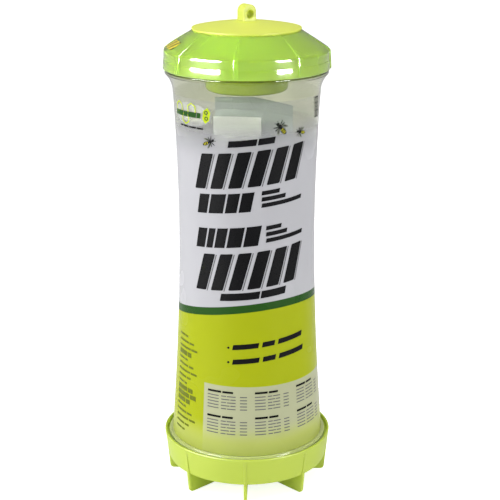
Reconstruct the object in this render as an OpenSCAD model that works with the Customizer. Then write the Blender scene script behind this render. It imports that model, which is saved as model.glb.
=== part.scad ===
// Hanging wasp trap: a clear, waisted canister with an insect entry at each end.
// Millimetres, +Z up. The origin is on the axis, at the level that the feet stand on.
// Angles are counted anticlockwise from +X, and the front of the trap faces -Y.

/* [Base] */
// Outer radius of the base's rim
base_r = 61; // [50:0.5:74]
// Height of the base's rim above the feet
base_h = 35; // [31:0.5:44]
// Height of the open space between the feet, under the dish
foot_h = 14; // [10:0.5:16]
// Thickness of each foot
foot_t = 2.3; // [1.6:0.1:4]
// Number of feet
foot_count = 8; // [6:1:12]
// Thickness of the base's rim
rim_wall = 1.8; // [1.2:0.1:3]
// Thickness of the dish's floor
floor_t = 2; // [1.5:0.1:3]
// Radius of the entry hole in the dish
base_hole_r = 28.5; // [20:0.5:32]
// Height of the lower entry cone above the dish's floor
cone_h = 69; // [40:1:90]
// Radius of the hole at the top of the lower entry cone
cone_top_r = 8; // [6:0.5:10]

/* [Canister] */
// Height of the canister from the base's rim to its shoulder
body_h = 267; // [215:1:330]
// Height of the waist above the base's rim
waist_up = 155; // [120:1:165]
// Outer radius at the waist
waist_r = 47.8; // [38:0.1:50]
// Wall of the canister's body
can_wall = 1.2; // [0.8:0.1:1.6]
// Wall of the canister's two necks
neck_wall = 1.6; // [1.2:0.1:2]
// Height of the upper neck
neck_h = 8; // [8:0.5:11]
// Height of the flare below the shoulder
flare_h = 12.6; // [8:0.1:18]
// How far the shoulder stands out beyond the body under it
flare_out = 5.4; // [2:0.1:7]

/* [Lid] */
// Outer radius of the lid at its lower edge
lid_r = 57.8; // [52:0.1:70]
// Thickness of the lid's skirt, threads included
skirt_wall = 2.7; // [2.2:0.1:4]
// Rise of the dome from its eave to the seat of the rain cap
dome_rise = 15.2; // [10:0.1:22]
// Thickness of the dome
dome_wall = 2.4; // [1.6:0.1:3]
// Number of grip ribs
rib_count = 8; // [6:1:12]
// Width of each grip rib on the skirt
rib_w = 3.2; // [2:0.1:5]
// Angle of the first grip rib
rib_turn = -6; // [-20:1:20]

/* [Rain cap] */
// Radius of the rain cap
cap_r = 37.7; // [34:0.1:46]
// Height of the crown above the edge
crown_h = 4; // [2:0.1:8]
// Thickness of the rain cap
cap_t = 1.6; // [1.2:0.1:2.4]
// Travel of the rain cap from closed to open
cap_lift = 10; // [6:0.5:12]
// Radius of the hole in the hanging eye
eye_hole_r = 2.6; // [1.5:0.1:3]
// Width of the hanging eye
eye_w = 9.8; // [8:0.1:14]
// Thickness of the hanging eye
eye_t = 9.4; // [4:0.1:12]
// Angle that the eye's hole is turned away from the front
eye_turn = 33; // [0:1:90]

/* [Entry funnel] */
// Outer radius of the funnel's bowl at its top
bowl_top_r = 30.2; // [24:0.1:33]
// Outer radius of the funnel's bowl at its floor
bowl_low_r = 28.6; // [20:0.1:32]
// Depth of the bowl below the canister's lip
bowl_h = 23; // [14:0.5:30]
// Wall of the bowl
bowl_wall = 1.3; // [0.8:0.1:2]
// Radius of the hole in the bowl's floor
bowl_hole_r = 9; // [6:0.5:12]

/* [Contents] */
// Width of the foil pouch
pouch_w = 54; // [40:1:60]
// Thickness of the foil pouch
pouch_t = 12; // [11:0.5:16]
// Free height above the foil pouch
pouch_gap = 5; // [3:0.5:20]
// Width of the powder packet
packet_w = 33; // [25:1:40]
// How far the powder packet's top lies below the pouch's
packet_drop = 12; // [4:1:30]
// Radius of the attractant vial
vial_r = 8; // [6:0.5:10]
// Free height above the vial's cap
vial_gap = 32; // [10:1:45]

/* [Fits] */
// Play between pieces that move past each other
play = 0.3; // [0.2:0.05:0.4]
// Radial play at the crests of the threads
thread_play = 0.4; // [0.3:0.05:0.5]
// Height that a thread stands out from its wall
thread_depth = 1.3; // [1:0.1:1.6]
// Rise of the lid's thread in one turn
lid_lead = 8; // [6:0.5:8]
// Rise of the base's thread in one turn
base_lead = 20; // [16:1:24]

/* [Hidden] */
$fn = 128;
eps = 0.02;

// Base: from the outside in, then up.
recess_r = base_r - rim_wall;
flange_r = recess_r - 2 * play;
ledge_w = 3.1;
socket_r = recess_r - ledge_w;
low_neck_r = socket_r - thread_play - thread_depth;
dish_r = base_r - 3;
corner_r = 3.1;
floor_z = foot_h + floor_t;
ledge_z = base_h - 3.5;
gasket_t = 1.5;
flange_z = ledge_z + gasket_t;
flange_t = 2.2;
cone_flange_r = base_hole_r + 4.6;
cone_wall = 1.2;
cone_flange_t = 1.4;
foot_edge_r = base_r - 3.5;

// Canister: heights, then radii.
low_z = base_h + 1;
low_step = 1.3;
low_r = low_neck_r + low_step;
low_neck_z = floor_z + 2;
waist_z = base_h + waist_up;
shoulder_z = base_h + body_h;
shoulder_t = 2.4;
flare_top_z = shoulder_z - shoulder_t;
flare_z = flare_top_z - flare_h;
lip_z = shoulder_z + neck_h;
shoulder_r = lid_r - 1.2;
up_r = shoulder_r - flare_out;
skirt_in_r = lid_r - skirt_wall;
neck_r = skirt_in_r - thread_play - thread_depth;
neck_in_r = neck_r - neck_wall;
thread_t = 1.2;
low_thread_t = 1.6;
lid_pitch = lid_lead / 2;
base_pitch = base_lead / 4;
shelf_w = 1.4;
shelf_t = 1.5;
shelf_z = waist_z - shelf_t;
divider_t = 1.5;
divider_z = shelf_z + divider_t;
divider_r = waist_r - can_wall - play;

// Lid and entry funnel.
skirt_z = shoulder_z + 0.5;
funnel_t = 1.5;
funnel_top_z = lip_z + funnel_t;
eave_z = funnel_top_z + 1.7;
eave_r = lid_r - 0.7;
eave_round = 2.8;
seat_z = eave_z + dome_rise;
seat_r = cap_r - 0.3;
collar_in_r = cap_r - 3.7;
collar_r = collar_in_r + 2;
collar_z = funnel_top_z + 0.5;
bowl_z = lip_z - bowl_h;
// Where the straight slope leaves the eave's round: the tangent from the seat's corner.
slope_reach = [seat_r - eave_r + eave_round, seat_z - eave_z];
slope_out = atan2(slope_reach[1], slope_reach[0]) - acos(eave_round / norm(slope_reach));

// Rain cap.
edge_z = seat_z + 0.5;
edge_t = 1.2;
crown_base_z = edge_z + edge_t;
crown_z = crown_base_z + crown_h;
crown_round = (cap_r * cap_r + crown_h * crown_h) / (2 * crown_h);
leg_count = 4;
leg_w = 8;
leg_t = 2;
leg_r = collar_in_r - 2 * play + 0.2;
hook_h = 2.2;
window_z = collar_z + 1.2;
hook_z = window_z + play;
window_top_z = hook_z + hook_h + cap_lift + play;
eye_z = crown_z + 4.9;
eye_top_z = crown_z + 11.5;

// Contents, which stand on the divider.
pouch_x = 5;
pouch_h = bowl_z - divider_z - pouch_gap;
foil_t = 0.8;
case_w = 20;
case_t = 7;
case_h = 32;
case_wall = 0.8;
packet_h = pouch_h - packet_drop;
packet_t = 5;
packet_x = -6.3;
packet_y = -pouch_t / 2 - packet_t / 2 - 1.5;
paper_t = 0.6;
vial_h = bowl_z - divider_z - vial_gap;
vial_x = -4;
vial_y = pouch_t / 2 + vial_r + 9;
vial_wall = 1;
vial_neck_r = vial_r - 2;
vial_neck_h = 8;

// Outline helpers: an arc, and the canister's outer radius at a height.
function arc(x, z, r, from, to, steps = 8) =
    [for (i = [0:steps]) let (a = from + (to - from) * i / steps) [x + r * cos(a), z + r * sin(a)]];
function steps_between(low, high, count) = [for (i = [0:count]) low + (high - low) * i / count];
function backwards(list) = [for (i = [len(list) - 1:-1:0]) list[i]];
function waisted_r(z) = z < waist_z
    ? waist_r + (low_r - waist_r) * pow((waist_z - z) / (waist_z - low_z), 1.75)
    : waist_r + (up_r - waist_r) * pow((z - waist_z) / (flare_z - waist_z), 2.1);
flare_w = shoulder_r - waisted_r(flare_top_z);
function body_r(z) =
    waisted_r(z) + (z > flare_z ? flare_w * pow((z - flare_z) / flare_h, 2.3) : 0);
function dome_z(r) = seat_z - (r - seat_r) * (seat_z - eave_z - eave_round * sin(slope_out))
    / (eave_r - eave_round + eave_round * cos(slope_out) - seat_r);
function crown(r) = crown_z - crown_round + sqrt(crown_round * crown_round - r * r);

lime = [0.78, 0.9, 0.16];
lime_clear = [0.62, 0.86, 0.2, 0.7];

// Ridges of a right-hand thread, in short lengths with gaps between them.
module thread(starts, lead, z, inner, outer, thick, lengths) {
    length_angle = 33;
    step_angle = 45;
    tall = lead / starts;
    tilt = atan(lead / (2 * PI * outer));
    for (start = [0:starts - 1], i = [0:lengths - 1])
        rotate([0, 0, start * 360 / starts + i * step_angle])
            translate([0, 0, z + lead * i * step_angle / 360])
                intersection() {
                    rotate([0, 0, -length_angle / 2])
                        rotate_extrude(angle = length_angle)
                            translate([inner, -tall / 2])
                                square([outer - inner, tall]);
                    rotate([tilt, 0, 0])
                        cube([3 * outer, 3 * outer, thick], center = true);
                }
}

// One foot: a radial plate under the dish that runs up the wall as a rib.
module foot() {
    tip = 3;
    outline = concat(
        [[base_hole_r + 1.5, 0]],
        arc(foot_edge_r - tip, tip, tip, -90, 0),
        [[base_r - 0.15, base_h - 2.2], [base_r - rim_wall / 2, base_h - 2.2],
         [base_r - rim_wall / 2, ledge_z - 1], [dish_r - 1, floor_z + 1],
         [dish_r - corner_r, floor_z - 1], [base_hole_r + 1.5, floor_z - 1]]);
    rotate([90, 0, 0])
        linear_extrude(foot_t, center = true)
            polygon(outline);
}

module base() {
    ring_h = 2;
    rim_round = rim_wall / 2;
    snap_r = cone_flange_r + play;
    dish = concat(
        [[base_hole_r, foot_h]],
        [[dish_r - corner_r - 4, foot_h], [dish_r - corner_r - 4, foot_h - ring_h],
         [dish_r - corner_r - 2, foot_h - ring_h], [dish_r - corner_r - 2, foot_h]],
        arc(dish_r - corner_r, foot_h + corner_r, corner_r, -90, 0),
        arc(base_r - rim_round, base_h - rim_round, rim_round, 0, 180),
        [[recess_r, ledge_z], [socket_r, ledge_z], [socket_r, floor_z], [base_hole_r, floor_z]]);
    snap = [[snap_r, floor_z - eps], [snap_r + 1.4, floor_z - eps],
            [snap_r + 1.4, floor_z + cone_flange_t + 1.2],
            [snap_r - play, floor_z + cone_flange_t + 1.2],
            [snap_r - play, floor_z + cone_flange_t + play],
            [snap_r, floor_z + cone_flange_t]];
    color(lime) {
        rotate_extrude() polygon(dish);
        rotate_extrude() polygon(snap);
        for (i = [0:foot_count - 1])
            rotate([0, 0, i * 360 / foot_count - 90])
                foot();
        thread(4, base_lead, ledge_z - 4.5, low_neck_r + thread_play, socket_r + 0.5,
               low_thread_t, 1);
    }
}

module base_gasket() {
    color([0.85, 0.88, 0.8])
        rotate_extrude()
            translate([low_neck_r + play, ledge_z])
                square([flange_r - low_neck_r - play, gasket_t]);
}

module entry_cone() {
    foot_r = base_hole_r + 0.5;
    color(lime_clear)
        rotate_extrude()
            polygon([[foot_r, floor_z], [cone_flange_r, floor_z],
                     [cone_flange_r, floor_z + cone_flange_t],
                     [foot_r + cone_wall, floor_z + cone_flange_t],
                     [cone_top_r + cone_wall, floor_z + cone_h], [cone_top_r, floor_z + cone_h]]);
}

module canister() {
    heights = concat(steps_between(low_z, flare_z, 22),
                     [for (i = [1:8]) flare_z + flare_h * i / 8]);
    low_in_r = low_neck_r - neck_wall;
    outline = concat(
        [[low_in_r, low_neck_z], [low_neck_r, low_neck_z], [low_neck_r, flange_z],
         [flange_r, flange_z], [flange_r, flange_z + flange_t], [low_r, flange_z + flange_t]],
        [for (z = heights) [body_r(z), z]],
        [[shoulder_r, shoulder_z], [neck_r, shoulder_z], [neck_r, lip_z], [neck_in_r, lip_z],
         [neck_in_r, shoulder_z - can_wall], [shoulder_r - can_wall, shoulder_z - can_wall]],
        [for (z = backwards(heights)) [body_r(z) - can_wall, z]],
        [[low_in_r, flange_z]]);
    shelf_in_r = waist_r - can_wall - shelf_w;
    color([0.86, 0.92, 0.92, 0.35]) {
        rotate_extrude() polygon(outline);
        rotate_extrude()
            translate([shelf_in_r, shelf_z - shelf_t])
                square([shelf_w + can_wall / 2, shelf_t]);
        thread(2, lid_lead, shoulder_z + 1.9, neck_r - 0.5, neck_r + thread_depth, thread_t, 5);
        thread(4, base_lead, ledge_z - 4.5 - base_pitch / 2, low_neck_r - 0.5,
               low_neck_r + thread_depth, low_thread_t, 1);
    }
}

module label_wrap() {
    film_gap = 0.08;
    film_t = 0.25;
    heights = steps_between(base_h + 2, flare_z, 27);
    color([0.9, 0.93, 0.94, 0.9])
        rotate_extrude()
            polygon(concat([for (z = heights) [body_r(z) + film_gap + film_t, z]],
                           [for (z = backwards(heights)) [body_r(z) + film_gap, z]]));
}

module chamber_divider() {
    rim_h = 6;
    color([0.8, 0.9, 0.4, 0.8])
        rotate_extrude()
            polygon([[0, shelf_z], [divider_r, shelf_z], [divider_r, divider_z + rim_h],
                     [divider_r - 1.2, divider_z + rim_h], [divider_r - 1.2, divider_z],
                     [0, divider_z]]);
}

// A pillow bag: flat seals at the top and bottom and a thick middle.
module pillow(w, t, h, foot_part, seal_t) {
    hull() {
        translate([-w / 2 + 1, -t * foot_part / 2, 0]) cube([w - 2, t * foot_part, 1]);
        translate([-w / 2 + 1.5, -t / 2, h * 0.28]) cube([w - 3, t, h * 0.32]);
        translate([-w / 2, -seal_t / 2, h * 0.25]) cube([w, seal_t, h * 0.3]);
        translate([-w / 2, -seal_t / 2, h - 1]) cube([w, seal_t, 1]);
    }
}

module foil_pouch() {
    seal_h = 8;
    color([0.66, 0.72, 0.72])
        translate([pouch_x, 0, divider_z])
            difference() {
                pillow(pouch_w, pouch_t, pouch_h, 0.75, 1.6);
                translate([0, 0, foil_t])
                    pillow(pouch_w - 2 * foil_t - 1, pouch_t - 2 * foil_t, pouch_h - seal_h,
                           0.75, 0.5);
            }
}

module cartridge_case(side) {
    slot_h = 1.6;
    color([0.93, 0.94, 0.9])
        translate([pouch_x + side * (case_w / 2 + 1), 0, divider_z + foil_t])
            difference() {
                translate([-case_w / 2, -case_t / 2, 0])
                    cube([case_w, case_t, case_h]);
                translate([-case_w / 2 + case_wall, -case_t / 2 + case_wall, case_wall])
                    cube([case_w - 2 * case_wall, case_t - 2 * case_wall,
                          case_h - 2 * case_wall]);
                for (i = [0:4])
                    translate([-case_w / 2 + 3, -case_t / 2 - 1, 6 + i * 4.6])
                        cube([case_w - 6, case_wall + 2, slot_h]);
            }
}

module lure_pad(side) {
    pad_play = 0.3;
    color([0.95, 0.9, 0.75])
        translate([pouch_x + side * (case_w / 2 + 1), 0, divider_z + foil_t + case_wall])
            translate([-case_w / 2 + case_wall + pad_play, -case_t / 2 + case_wall + pad_play, 0])
                cube([case_w - 2 * case_wall - 2 * pad_play,
                      case_t - 2 * case_wall - 2 * pad_play,
                      case_h - 2 * case_wall - pad_play]);
}

module powder_packet() {
    color([0.94, 0.95, 0.96])
        translate([packet_x, packet_y, divider_z])
            difference() {
                pillow(packet_w, packet_t, packet_h, 0.5, 1.2);
                translate([0, 0, 2])
                    pillow(packet_w - 3, packet_t - 2 * paper_t, packet_h - 8, 0.5, 0.4);
            }
}

module powder_fill() {
    fill_h = 24;
    fill_t = 1.7;
    color([0.93, 0.88, 0.7])
        translate([packet_x, packet_y, divider_z + 2])
            translate([-packet_w / 2 + 4, -fill_t / 2, 0])
                cube([packet_w - 8, fill_t, fill_h]);
}

module attractant_vial() {
    body = vial_h - vial_neck_h - 4;
    color([0.95, 0.97, 0.97, 0.6])
        translate([vial_x, vial_y, divider_z])
            rotate_extrude()
                polygon([[0, 0], [vial_r, 0], [vial_r, body], [vial_neck_r, body + 2],
                         [vial_neck_r, vial_h - 2], [vial_neck_r - vial_wall, vial_h - 2],
                         [vial_neck_r - vial_wall, body + 1.6], [vial_r - vial_wall, body - 0.4],
                         [vial_r - vial_wall, vial_wall], [0, vial_wall]]);
}

module vial_liquid() {
    liquid_h = 26;
    color([0.95, 0.8, 0.3, 0.7])
        translate([vial_x, vial_y, divider_z + vial_wall])
            cylinder(h = liquid_h, r = vial_r - vial_wall - 0.1);
}

module vial_cap() {
    cap_top = 1.4;
    cap_h = vial_neck_h - 1;
    color([0.95, 0.95, 0.95])
        translate([vial_x, vial_y, divider_z + vial_h - 2 - cap_h + cap_top])
            difference() {
                cylinder(h = cap_h, r = vial_r);
                translate([0, 0, -1])
                    cylinder(h = cap_h - cap_top + 1, r = vial_neck_r + 0.1);
            }
}

module entry_funnel() {
    bowl_round = 4;
    floor_r = bowl_low_r - bowl_round;
    ring_in_r = collar_r + play;
    ring_h = 1.5;
    outline = concat(
        [[neck_r - 0.2, lip_z], [bowl_top_r, lip_z]],
        arc(floor_r, bowl_z + bowl_round, bowl_round, 0, -90),
        [[bowl_hole_r, bowl_z], [bowl_hole_r, bowl_z + bowl_wall]],
        arc(floor_r, bowl_z + bowl_round, bowl_round - bowl_wall, -90, 0),
        [[bowl_top_r - bowl_wall, funnel_top_z], [ring_in_r, funnel_top_z],
         [ring_in_r, funnel_top_z + ring_h], [ring_in_r + 1.2, funnel_top_z + ring_h],
         [ring_in_r + 1.2, funnel_top_z], [neck_r - 0.2, funnel_top_z]]);
    color(lime_clear)
        rotate_extrude() polygon(outline);
}

// A grip rib: widest at the skirt, fading out up the slope.
module grip_rib() {
    tip_r = cap_r + 3.3;
    proud = 1.1;
    side = [[tip_r, dome_z(tip_r) - 1], [tip_r, dome_z(tip_r) + 0.15],
            [eave_r + 0.4, dome_z(eave_r) + proud], [lid_r + 0.5, skirt_z + 0.7],
            [lid_r - 1.6, skirt_z + 0.7], [eave_r - 1.4, eave_z - 1]];
    intersection() {
        rotate([90, 0, 0])
            linear_extrude(rib_w + 2, center = true)
                polygon(side);
        translate([0, 0, skirt_z])
            linear_extrude(seat_z - skirt_z + 4)
                polygon([[tip_r - 1, -0.6], [lid_r + 2, -rib_w / 2], [lid_r + 2, rib_w / 2],
                         [tip_r - 1, 0.6]]);
    }
}

module lid() {
    brow_r = neck_r - 1.4;
    outline = concat(
        [[skirt_in_r, skirt_z], [lid_r, skirt_z], [eave_r, eave_z - 3]],
        arc(eave_r - eave_round, eave_z, eave_round, 0, slope_out),
        [[seat_r, seat_z], [collar_in_r, seat_z], [collar_in_r, collar_z],
         [collar_r, collar_z], [collar_r, dome_z(collar_r) - dome_wall],
         [brow_r, dome_z(brow_r) - dome_wall], [brow_r, funnel_top_z],
         [skirt_in_r, funnel_top_z]]);
    color(lime_clear) {
        difference() {
            rotate_extrude() polygon(outline);
            for (i = [0:leg_count - 1])
                rotate([0, 0, eye_turn + 45 + i * 360 / leg_count])
                    translate([collar_in_r - 1, -leg_w / 2 - play, window_z])
                        cube([collar_r - collar_in_r + 1.5, leg_w + 2 * play,
                              window_top_z - window_z]);
        }
        for (i = [0:rib_count - 1])
            rotate([0, 0, i * 360 / rib_count - 90 + rib_turn])
                grip_rib();
        thread(2, lid_lead, shoulder_z + 1.9 + lid_pitch / 2, neck_r + thread_play,
               skirt_in_r + 0.5, thread_t, 3);
    }
}

module lid_sticker() {
    film_gap = 0.1;
    film_t = 0.25;
    low = eave_r - 2.2;
    high = eave_r - 9.5;
    color([0.95, 0.85, 0.1])
        rotate([0, 0, -90 + rib_turn - 82])
            rotate_extrude(angle = 22)
                polygon([[high, dome_z(high) + film_gap], [low, dome_z(low) + film_gap],
                         [low, dome_z(low) + film_gap + film_t],
                         [high, dome_z(high) + film_gap + film_t]]);
}

module rain_cap_leg() {
    translate([leg_r - leg_t, -leg_w / 2, hook_z])
        cube([leg_t, leg_w, edge_z + 0.5 - hook_z]);
    translate([leg_r - eps, -leg_w / 2, hook_z])
        cube([collar_r - play - leg_r, leg_w, hook_h]);
}

module rain_cap() {
    radii = steps_between(0, cap_r, 12);
    under = [for (r = backwards(radii)) if (r < cap_r - 1) [r, max(crown(r) - cap_t, edge_z)]];
    bead_r = collar_in_r + 0.7;
    color(lime)
        difference() {
            union() {
                rotate_extrude()
                    polygon(concat([for (r = radii) [r, crown(r)]],
                                   [[cap_r, edge_z]], under));
                rotate_extrude()
                    translate([bead_r, seat_z])
                        square([1.8, 1]);
                translate([0, 0, crown_z - 0.8])
                    cylinder(h = 1.3, r1 = eye_w / 2 + 3.4, r2 = eye_w / 2 + 1.4);
                rotate([0, 0, eye_turn])
                    rotate([90, 0, 0])
                        linear_extrude(eye_t, center = true)
                            union() {
                                translate([-eye_w / 2, crown_z - 1])
                                    square([eye_w, eye_top_z - eye_w / 2 - crown_z + 1]);
                                translate([0, eye_top_z - eye_w / 2])
                                    circle(r = eye_w / 2);
                            }
                for (i = [0:leg_count - 1])
                    rotate([0, 0, eye_turn + 45 + i * 360 / leg_count])
                        rain_cap_leg();
            }
            rotate([0, 0, eye_turn])
                translate([0, 0, eye_z])
                    rotate([90, 0, 0])
                        cylinder(h = 2 * eye_t, r = eye_hole_r, center = true);
        }
}

base();
base_gasket();
entry_cone();
canister();
label_wrap();
chamber_divider();
foil_pouch();
cartridge_case(-1);  // cartridge_case_left
cartridge_case(1);  // cartridge_case_right
lure_pad(-1);  // lure_pad_left
lure_pad(1);  // lure_pad_right
powder_packet();
powder_fill();
attractant_vial();
vial_liquid();
vial_cap();
entry_funnel();
lid();
lid_sticker();
rain_cap();
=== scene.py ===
"""Looks for a hanging wasp trap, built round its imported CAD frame.

The classes hold their sizes in millimetres, and every mesh is written in metres. Angles round
the trap are in degrees from the front (-Y), and grow towards the viewer's right.
"""
import logging
import math
from dataclasses import dataclass
from enum import Enum
from typing import Callable, Optional, Sequence

import bmesh
import bpy
from mathutils import Matrix, Vector, noise


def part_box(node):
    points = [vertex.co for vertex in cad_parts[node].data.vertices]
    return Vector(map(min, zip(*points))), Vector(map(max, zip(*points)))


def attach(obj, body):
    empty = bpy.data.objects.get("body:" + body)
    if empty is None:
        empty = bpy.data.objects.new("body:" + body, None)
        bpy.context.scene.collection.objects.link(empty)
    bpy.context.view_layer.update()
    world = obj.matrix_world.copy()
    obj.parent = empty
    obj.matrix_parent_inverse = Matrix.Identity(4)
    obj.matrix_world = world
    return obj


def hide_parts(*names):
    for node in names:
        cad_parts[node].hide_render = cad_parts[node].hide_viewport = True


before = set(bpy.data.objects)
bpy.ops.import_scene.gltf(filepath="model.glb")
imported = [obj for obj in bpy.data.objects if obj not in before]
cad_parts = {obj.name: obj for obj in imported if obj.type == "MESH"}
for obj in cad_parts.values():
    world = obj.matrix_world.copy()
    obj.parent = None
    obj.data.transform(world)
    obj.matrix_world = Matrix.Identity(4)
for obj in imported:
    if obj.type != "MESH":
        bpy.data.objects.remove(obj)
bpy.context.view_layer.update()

LOG = logging.getLogger("wasp_trap")
MM = 0.001
Corner = tuple[float, float, float]
Colour = tuple[float, float, float, float]
ROUND_SEGMENTS = 144


class Body(Enum):
    """The rigid bodies that pieces ride on."""

    BASE = "base"
    GASKET = "gasket"
    CANISTER = "canister"
    FUNNEL = "funnel"
    LID = "lid"
    RAIN_CAP = "rain_cap"


class Slot(Enum):
    """Names of material slots; no piece here is given one."""

    LIME = "lime_plastic"
    TRANSLUCENT = "lime_translucent"
    CLEAR = "clear_plastic"
    FROSTED = "frosted_plastic"
    FILM = "printed_film"
    DIVIDER = "divider_plastic"
    FOIL = "pouch_foil"
    WHITE = "white_plastic"
    FELT = "lure_felt"
    PAPER = "packet_paper"
    POWDER = "lure_powder"
    LIQUID = "lure_liquid"
    RUBBER = "gasket_rubber"
    STICKER = "sticker_film"


# ---------------------------------------------------------------- meshes


@dataclass(frozen=True)
class Outline:
    """A half section beside the axis.

    Attributes:
        corners: radius, height and rounding of each corner, in order.
        closed: whether the last corner joins the first.
    """

    corners: Sequence[Corner]
    closed: bool = True

    def points(self, steps: int = 5) -> list[Vector]:
        """Gives the outline's points, with the rounded corners drawn as curves.

        Args:
            steps: how many lengths each rounded corner is drawn in.

        Returns:
            The points in the XZ plane, in millimetres.
        """
        spots = [Vector((r, 0.0, z)) for r, z, _ in self.corners]
        drawn: list[Vector] = []
        for index, (_, _, rounding) in enumerate(self.corners):
            here = spots[index]
            end = not self.closed and index in (0, len(spots) - 1)
            if rounding <= 0 or end:
                drawn.append(here)
                continue
            back = spots[index - 1] - here
            on = spots[(index + 1) % len(spots)] - here
            half = max(back.angle(on) / 2, 0.05)
            reach = min(rounding / math.tan(half), back.length * 0.48, on.length * 0.48)
            first = here + back.normalized() * reach
            last = here + on.normalized() * reach
            for step in range(steps + 1):
                t = step / steps
                drawn.append(first * (1 - t) ** 2 + here * 2 * t * (1 - t) + last * t * t)
        return drawn


def lathe(outline: Outline, segments: int = ROUND_SEGMENTS) -> bmesh.types.BMesh:
    """Turns an outline round the Z axis.

    Args:
        outline: the half section to turn.
        segments: how many flats the full turn has.

    Returns:
        A closed mesh whose faces point outwards, in metres.
    """
    bm = bmesh.new()
    verts = [bm.verts.new(point * MM) for point in outline.points()]
    ends = verts[1:] + verts[:1] if outline.closed else verts[1:]
    edges = [bm.edges.new(pair) for pair in zip(verts, ends)]
    bmesh.ops.spin(bm, geom=verts + edges, cent=(0, 0, 0), axis=(0, 0, 1), angle=math.tau,
                   steps=segments, use_merge=True)
    bmesh.ops.remove_doubles(bm, verts=bm.verts, dist=1e-6)
    bmesh.ops.recalc_face_normals(bm, faces=bm.faces)
    return bm


def turned(bm: bmesh.types.BMesh, degrees: float, verts: Optional[list] = None) -> None:
    """Turns a mesh, or some of its vertices, round the Z axis.

    Args:
        bm: the mesh.
        degrees: the turn, anticlockwise seen from above.
        verts: the vertices to turn, or None for all of them.
    """
    bmesh.ops.rotate(bm, cent=(0, 0, 0), matrix=Matrix.Rotation(math.radians(degrees), 3, "Z"),
                     verts=verts if verts is not None else bm.verts)


def block(bm: bmesh.types.BMesh, low: Sequence[float], high: Sequence[float],
          bevel: float = 0.4) -> list:
    """Adds a box with softened edges.

    Args:
        bm: the mesh that the box is added to.
        low: the box's lowest corner, in millimetres.
        high: its highest corner, in millimetres.
        bevel: the width of its softened edges, in millimetres.

    Returns:
        The box's vertices.
    """
    low_v, high_v = Vector(low), Vector(high)
    size = high_v - low_v
    before = set(bm.verts)
    place = Matrix.Translation((low_v + high_v) / 2 * MM) @ Matrix.Diagonal((*(size * MM), 1.0))
    made = bmesh.ops.create_cube(bm, size=1.0, matrix=place)["verts"]
    edges = list({edge for vert in made for edge in vert.link_edges})
    if bevel > 0:
        bmesh.ops.bevel(bm, geom=edges, offset=bevel * MM, segments=2, profile=0.5,
                        affect="EDGES", material=-1)
    return [vert for vert in bm.verts if vert not in before]


def plate(bm: bmesh.types.BMesh, outline: Sequence[Vector], thickness: float,
          bevel: float = 0.3) -> list:
    """Adds a flat plate standing in the XZ plane, centred on Y = 0.

    Args:
        bm: the mesh that the plate is added to.
        outline: the plate's outline, in millimetres.
        thickness: its thickness, in millimetres.
        bevel: the width of its softened edges, in millimetres.

    Returns:
        The plate's vertices.
    """
    before = set(bm.verts)
    verts = [bm.verts.new(Vector((p.x, -thickness / 2, p.z)) * MM) for p in outline]
    face = bm.faces.new(verts)
    grown = bmesh.ops.extrude_face_region(bm, geom=[face])["geom"]
    moved = [item for item in grown if isinstance(item, bmesh.types.BMVert)]
    bmesh.ops.translate(bm, vec=(0, thickness * MM, 0), verts=moved)
    new = [vert for vert in bm.verts if vert not in before]
    faces = list({face for vert in new for face in vert.link_faces})
    bmesh.ops.recalc_face_normals(bm, faces=faces)
    rims = [edge for edge in {edge for vert in new for edge in vert.link_edges}
            if len(edge.link_faces) == 2 and edge.calc_face_angle(0) > math.radians(50)]
    if bevel > 0:
        bmesh.ops.bevel(bm, geom=rims, offset=bevel * MM, segments=2, profile=0.5,
                        affect="EDGES", material=-1)
    return [vert for vert in bm.verts if vert not in before]


def thread(bm: bmesh.types.BMesh, root: float, crest: float, low: float, lead: float,
           turn: float, starts: int, thick: float, first: float = 0.0) -> None:
    """Adds the ridges of a right-hand thread.

    Args:
        bm: the mesh that the ridges are added to.
        root: the radius of the wall that the ridges stand on.
        crest: the radius of their crests, inside or outside the wall.
        low: the height where the first ridge starts.
        lead: the rise in a full turn.
        turn: how far each ridge runs round, in degrees.
        starts: the number of ridges.
        thick: the ridges' thickness.
        first: angle that the first ridge starts at.
    """
    steps = max(8, int(turn / 5))
    sink = 0.4 if crest > root else -0.4
    for start in range(starts):
        section = [(root - sink, -thick / 2), (crest, -thick / 4), (crest, thick / 4),
                   (root - sink, thick / 2)]
        verts = [bm.verts.new(Vector((r, 0, low + z)) * MM) for r, z in section]
        face = bm.faces.new(verts)
        before = set(bm.verts) - set(verts)
        rise = lead * turn / 360 / steps * MM
        bmesh.ops.spin(bm, geom=[face], cent=(0, 0, 0), axis=(0, 0, 1), dvec=(0, 0, rise),
                       angle=math.radians(turn), steps=steps, use_merge=False)
        new = [vert for vert in bm.verts if vert not in before]
        turned(bm, first + start * 360 / starts, new)
        bmesh.ops.recalc_face_normals(bm, faces=list({f for v in new for f in v.link_faces}))


def room_of(node: str) -> tuple[Vector, Vector]:
    """Gives the lowest and highest corner of a CAD node's box, in millimetres."""
    low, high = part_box(node)
    return low / MM, high / MM


def piece(name: str, bm: bmesh.types.BMesh, body: Body,
          material: bpy.types.Material, replaces: Sequence[str] = (),
          sharp: float = 32.0) -> bpy.types.Object:
    """Makes a finished piece from a mesh, and puts it on its body.

    Args:
        name: the piece's name.
        bm: its mesh, which is freed.
        body: the body that it rides on.
        material: its material.
        replaces: the CAD nodes that it stands for.
        sharp: edges that turn by more than this many degrees are shaded as sharp.

    Returns:
        The piece's object.
    """
    mesh = bpy.data.meshes.new(name)
    bm.to_mesh(mesh)
    bm.free()
    mesh.shade_smooth()
    mesh.set_sharp_from_angle(angle=math.radians(sharp))
    mesh.materials.append(material)
    made = bpy.data.objects.new(name, mesh)
    bpy.context.scene.collection.objects.link(made)
    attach(made, body.value)
    if replaces:
        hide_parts(*replaces)
    LOG.info("%s: %d faces on %s", name, len(mesh.polygons), body.value)
    return made


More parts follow.
